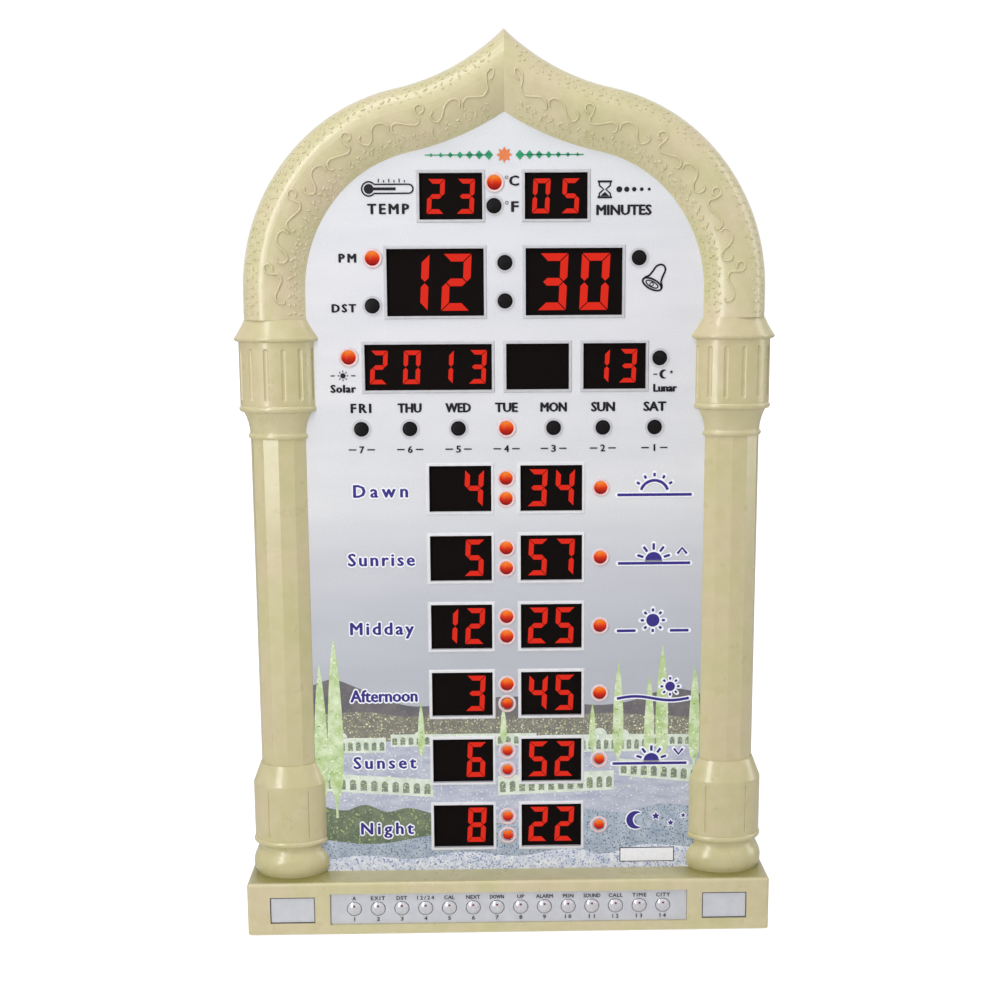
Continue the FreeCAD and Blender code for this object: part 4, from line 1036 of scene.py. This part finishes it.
def makeKeyReflectionDots():   # painted reflection: a small raised red dot near the top of each key, for the reflection in its shiny cap
    for name in keyNames:
        low, high = keyBoxes[name]
        dot = bmesh.new()
        bmesh.ops.create_uvsphere(dot, u_segments=14, v_segments=8, radius=smallTrim["keyDotRadius"] * mm)
        bmesh.ops.scale(dot, vec=(1, smallTrim["keyDotFlatness"], 1), verts=dot.verts)
        place = (keyXs[name] * mm, low.y + smallTrim["keyDotSink"] * mm, (keyZ + smallTrim["keyDotRise"]) * mm)
        bmesh.ops.translate(dot, vec=place, verts=dot.verts)
        for face in dot.faces:
            face.smooth = True
        mesh = bpy.data.meshes.new(name + "Dot")
        dot.to_mesh(mesh)
        dot.free()
        mesh.materials.append(plain["paintedKeyReflection"])
        mountPiece(placeObject(name + "Dot", mesh), name)


print("small trim")
makeTag()
makeRingBlooms()
makeKeyReflectionDots()


# Light, floor and camera
studio = {   # the camera's place is in mm; lamps and floor are in m
    "cameraPlace": (-11.7, -568.0, 268.6), "pitchDown": 9.229, "yaw": 0.978, "roll": -0.342,
    "focalPx": 1400.0, "framePx": 1001, "sensorMm": 36.0, "worldLevel": 0.28,
    "lamps": {   # place, width and height, watts; the two strips stand upright and shine level
        "stripLeft": ((-0.62, -1.00, 0.65), (0.24, 1.4), 9.0),
        "stripRight": ((1.30, -0.15, 0.65), (0.4, 1.4), 5.6),
        "overhead": ((-0.20, -0.50, 1.35), (0.9, 0.5), 6.5),
    },
    "aimZ": 0.19, "floorColour": "#f4f4f4", "floorReach": 9.0, "floorGlow": 0.72, "glowSpan": (0.3, 1.6),
}


def makeStudio():
    scene = bpy.context.scene
    scene.view_settings.view_transform = "Standard"
    cameraData = bpy.data.cameras.new("camera")
    cameraData.sensor_width = studio["sensorMm"]
    cameraData.lens = studio["focalPx"] / studio["framePx"] * studio["sensorMm"]
    camera = placeObject("camera", cameraData)
    pitch, yaw, roll = (math.radians(studio[key]) for key in ("pitchDown", "yaw", "roll"))
    forward = Vector((math.sin(yaw) * math.cos(pitch), math.cos(yaw) * math.cos(pitch), -math.sin(pitch)))
    level = Vector((math.cos(yaw), -math.sin(yaw), 0))
    up = level.cross(forward)
    right = level * math.cos(roll) + up * math.sin(roll)
    up = right.cross(forward)
    turn = Matrix((right, up, -forward)).transposed().to_4x4()
    camera.matrix_world = Matrix.Translation(Vector(studio["cameraPlace"]) * mm) @ turn
    scene.camera = camera

    world = bpy.data.worlds.new("studioAir")
    scene.world = world
    world.use_nodes = True
    tree = world.node_tree
    tree.nodes.clear()
    rays = addNode(tree, "ShaderNodeLightPath")
    direct = addNode(tree, "ShaderNodeMath",
        {0: rays.outputs["Is Camera Ray"], 1: rays.outputs["Is Transmission Ray"]}, operation="MAXIMUM")
    seen = addNode(tree, "ShaderNodeMath", {0: direct, 1: rays.outputs["Is Glossy Ray"]}, operation="MAXIMUM")
    ambient = addNode(tree, "ShaderNodeBackground", {"Color": (1, 1, 1, 1), "Strength": studio["worldLevel"]})
    white = addNode(tree, "ShaderNodeBackground", {"Color": (1, 1, 1, 1), "Strength": 1.0})
    mix = addNode(tree, "ShaderNodeMixShader", {"Fac": seen, 1: ambient, 2: white})
    addNode(tree, "ShaderNodeOutputWorld", {"Surface": mix})

    for name, (place, (wide, tall), watts) in studio["lamps"].items():
        lampData = bpy.data.lights.new(name, "AREA")
        lampData.shape, lampData.size, lampData.size_y, lampData.energy = "RECTANGLE", wide, tall, watts
        lamp = placeObject(name, lampData)
        lamp.location = place
        aim = Vector((0, 0, place[2] if name.startswith("strip") else studio["aimZ"])) - Vector(place)
        lamp.rotation_euler = aim.to_track_quat("-Z", "Y").to_euler()

    floorMesh = bpy.data.meshes.new("floor")
    reach = studio["floorReach"]
    floorMesh.from_pydata([(x, y, 0) for x, y in rectangle(-reach, reach, -reach, reach)], [], [(0, 1, 2, 3)])
    floor = placeObject("floor", floorMesh)
    material = bpy.data.materials.new("paleFloor")
    material.use_nodes = True
    tree = material.node_tree
    tree.nodes.clear()
    rays = addNode(tree, "ShaderNodeLightPath")
    coords = addNode(tree, "ShaderNodeTexCoord").outputs["Object"]
    away = addNode(tree, "ShaderNodeVectorMath", {0: coords}, operation="LENGTH")
    near, far = studio["glowSpan"]
    lift = addNode(tree, "ShaderNodeMapRange", {"Value": away, "From Min": near, "From Max": far,
        "To Min": studio["floorGlow"], "To Max": 1.0})
    matt = addNode(tree, "ShaderNodeBsdfDiffuse", {"Color": colour(studio["floorColour"])})
    glow = addNode(tree, "ShaderNodeEmission", {"Color": (1, 1, 1, 1), "Strength": lift})
    both = addNode(tree, "ShaderNodeAddShader", {0: matt, 1: glow})
    mix = addNode(tree, "ShaderNodeMixShader", {"Fac": rays.outputs["Is Camera Ray"], 1: matt, 2: both})
    addNode(tree, "ShaderNodeOutputMaterial", {"Surface": mix})
    floorMesh.materials.append(material)


makeStudio()
print("studio ready")
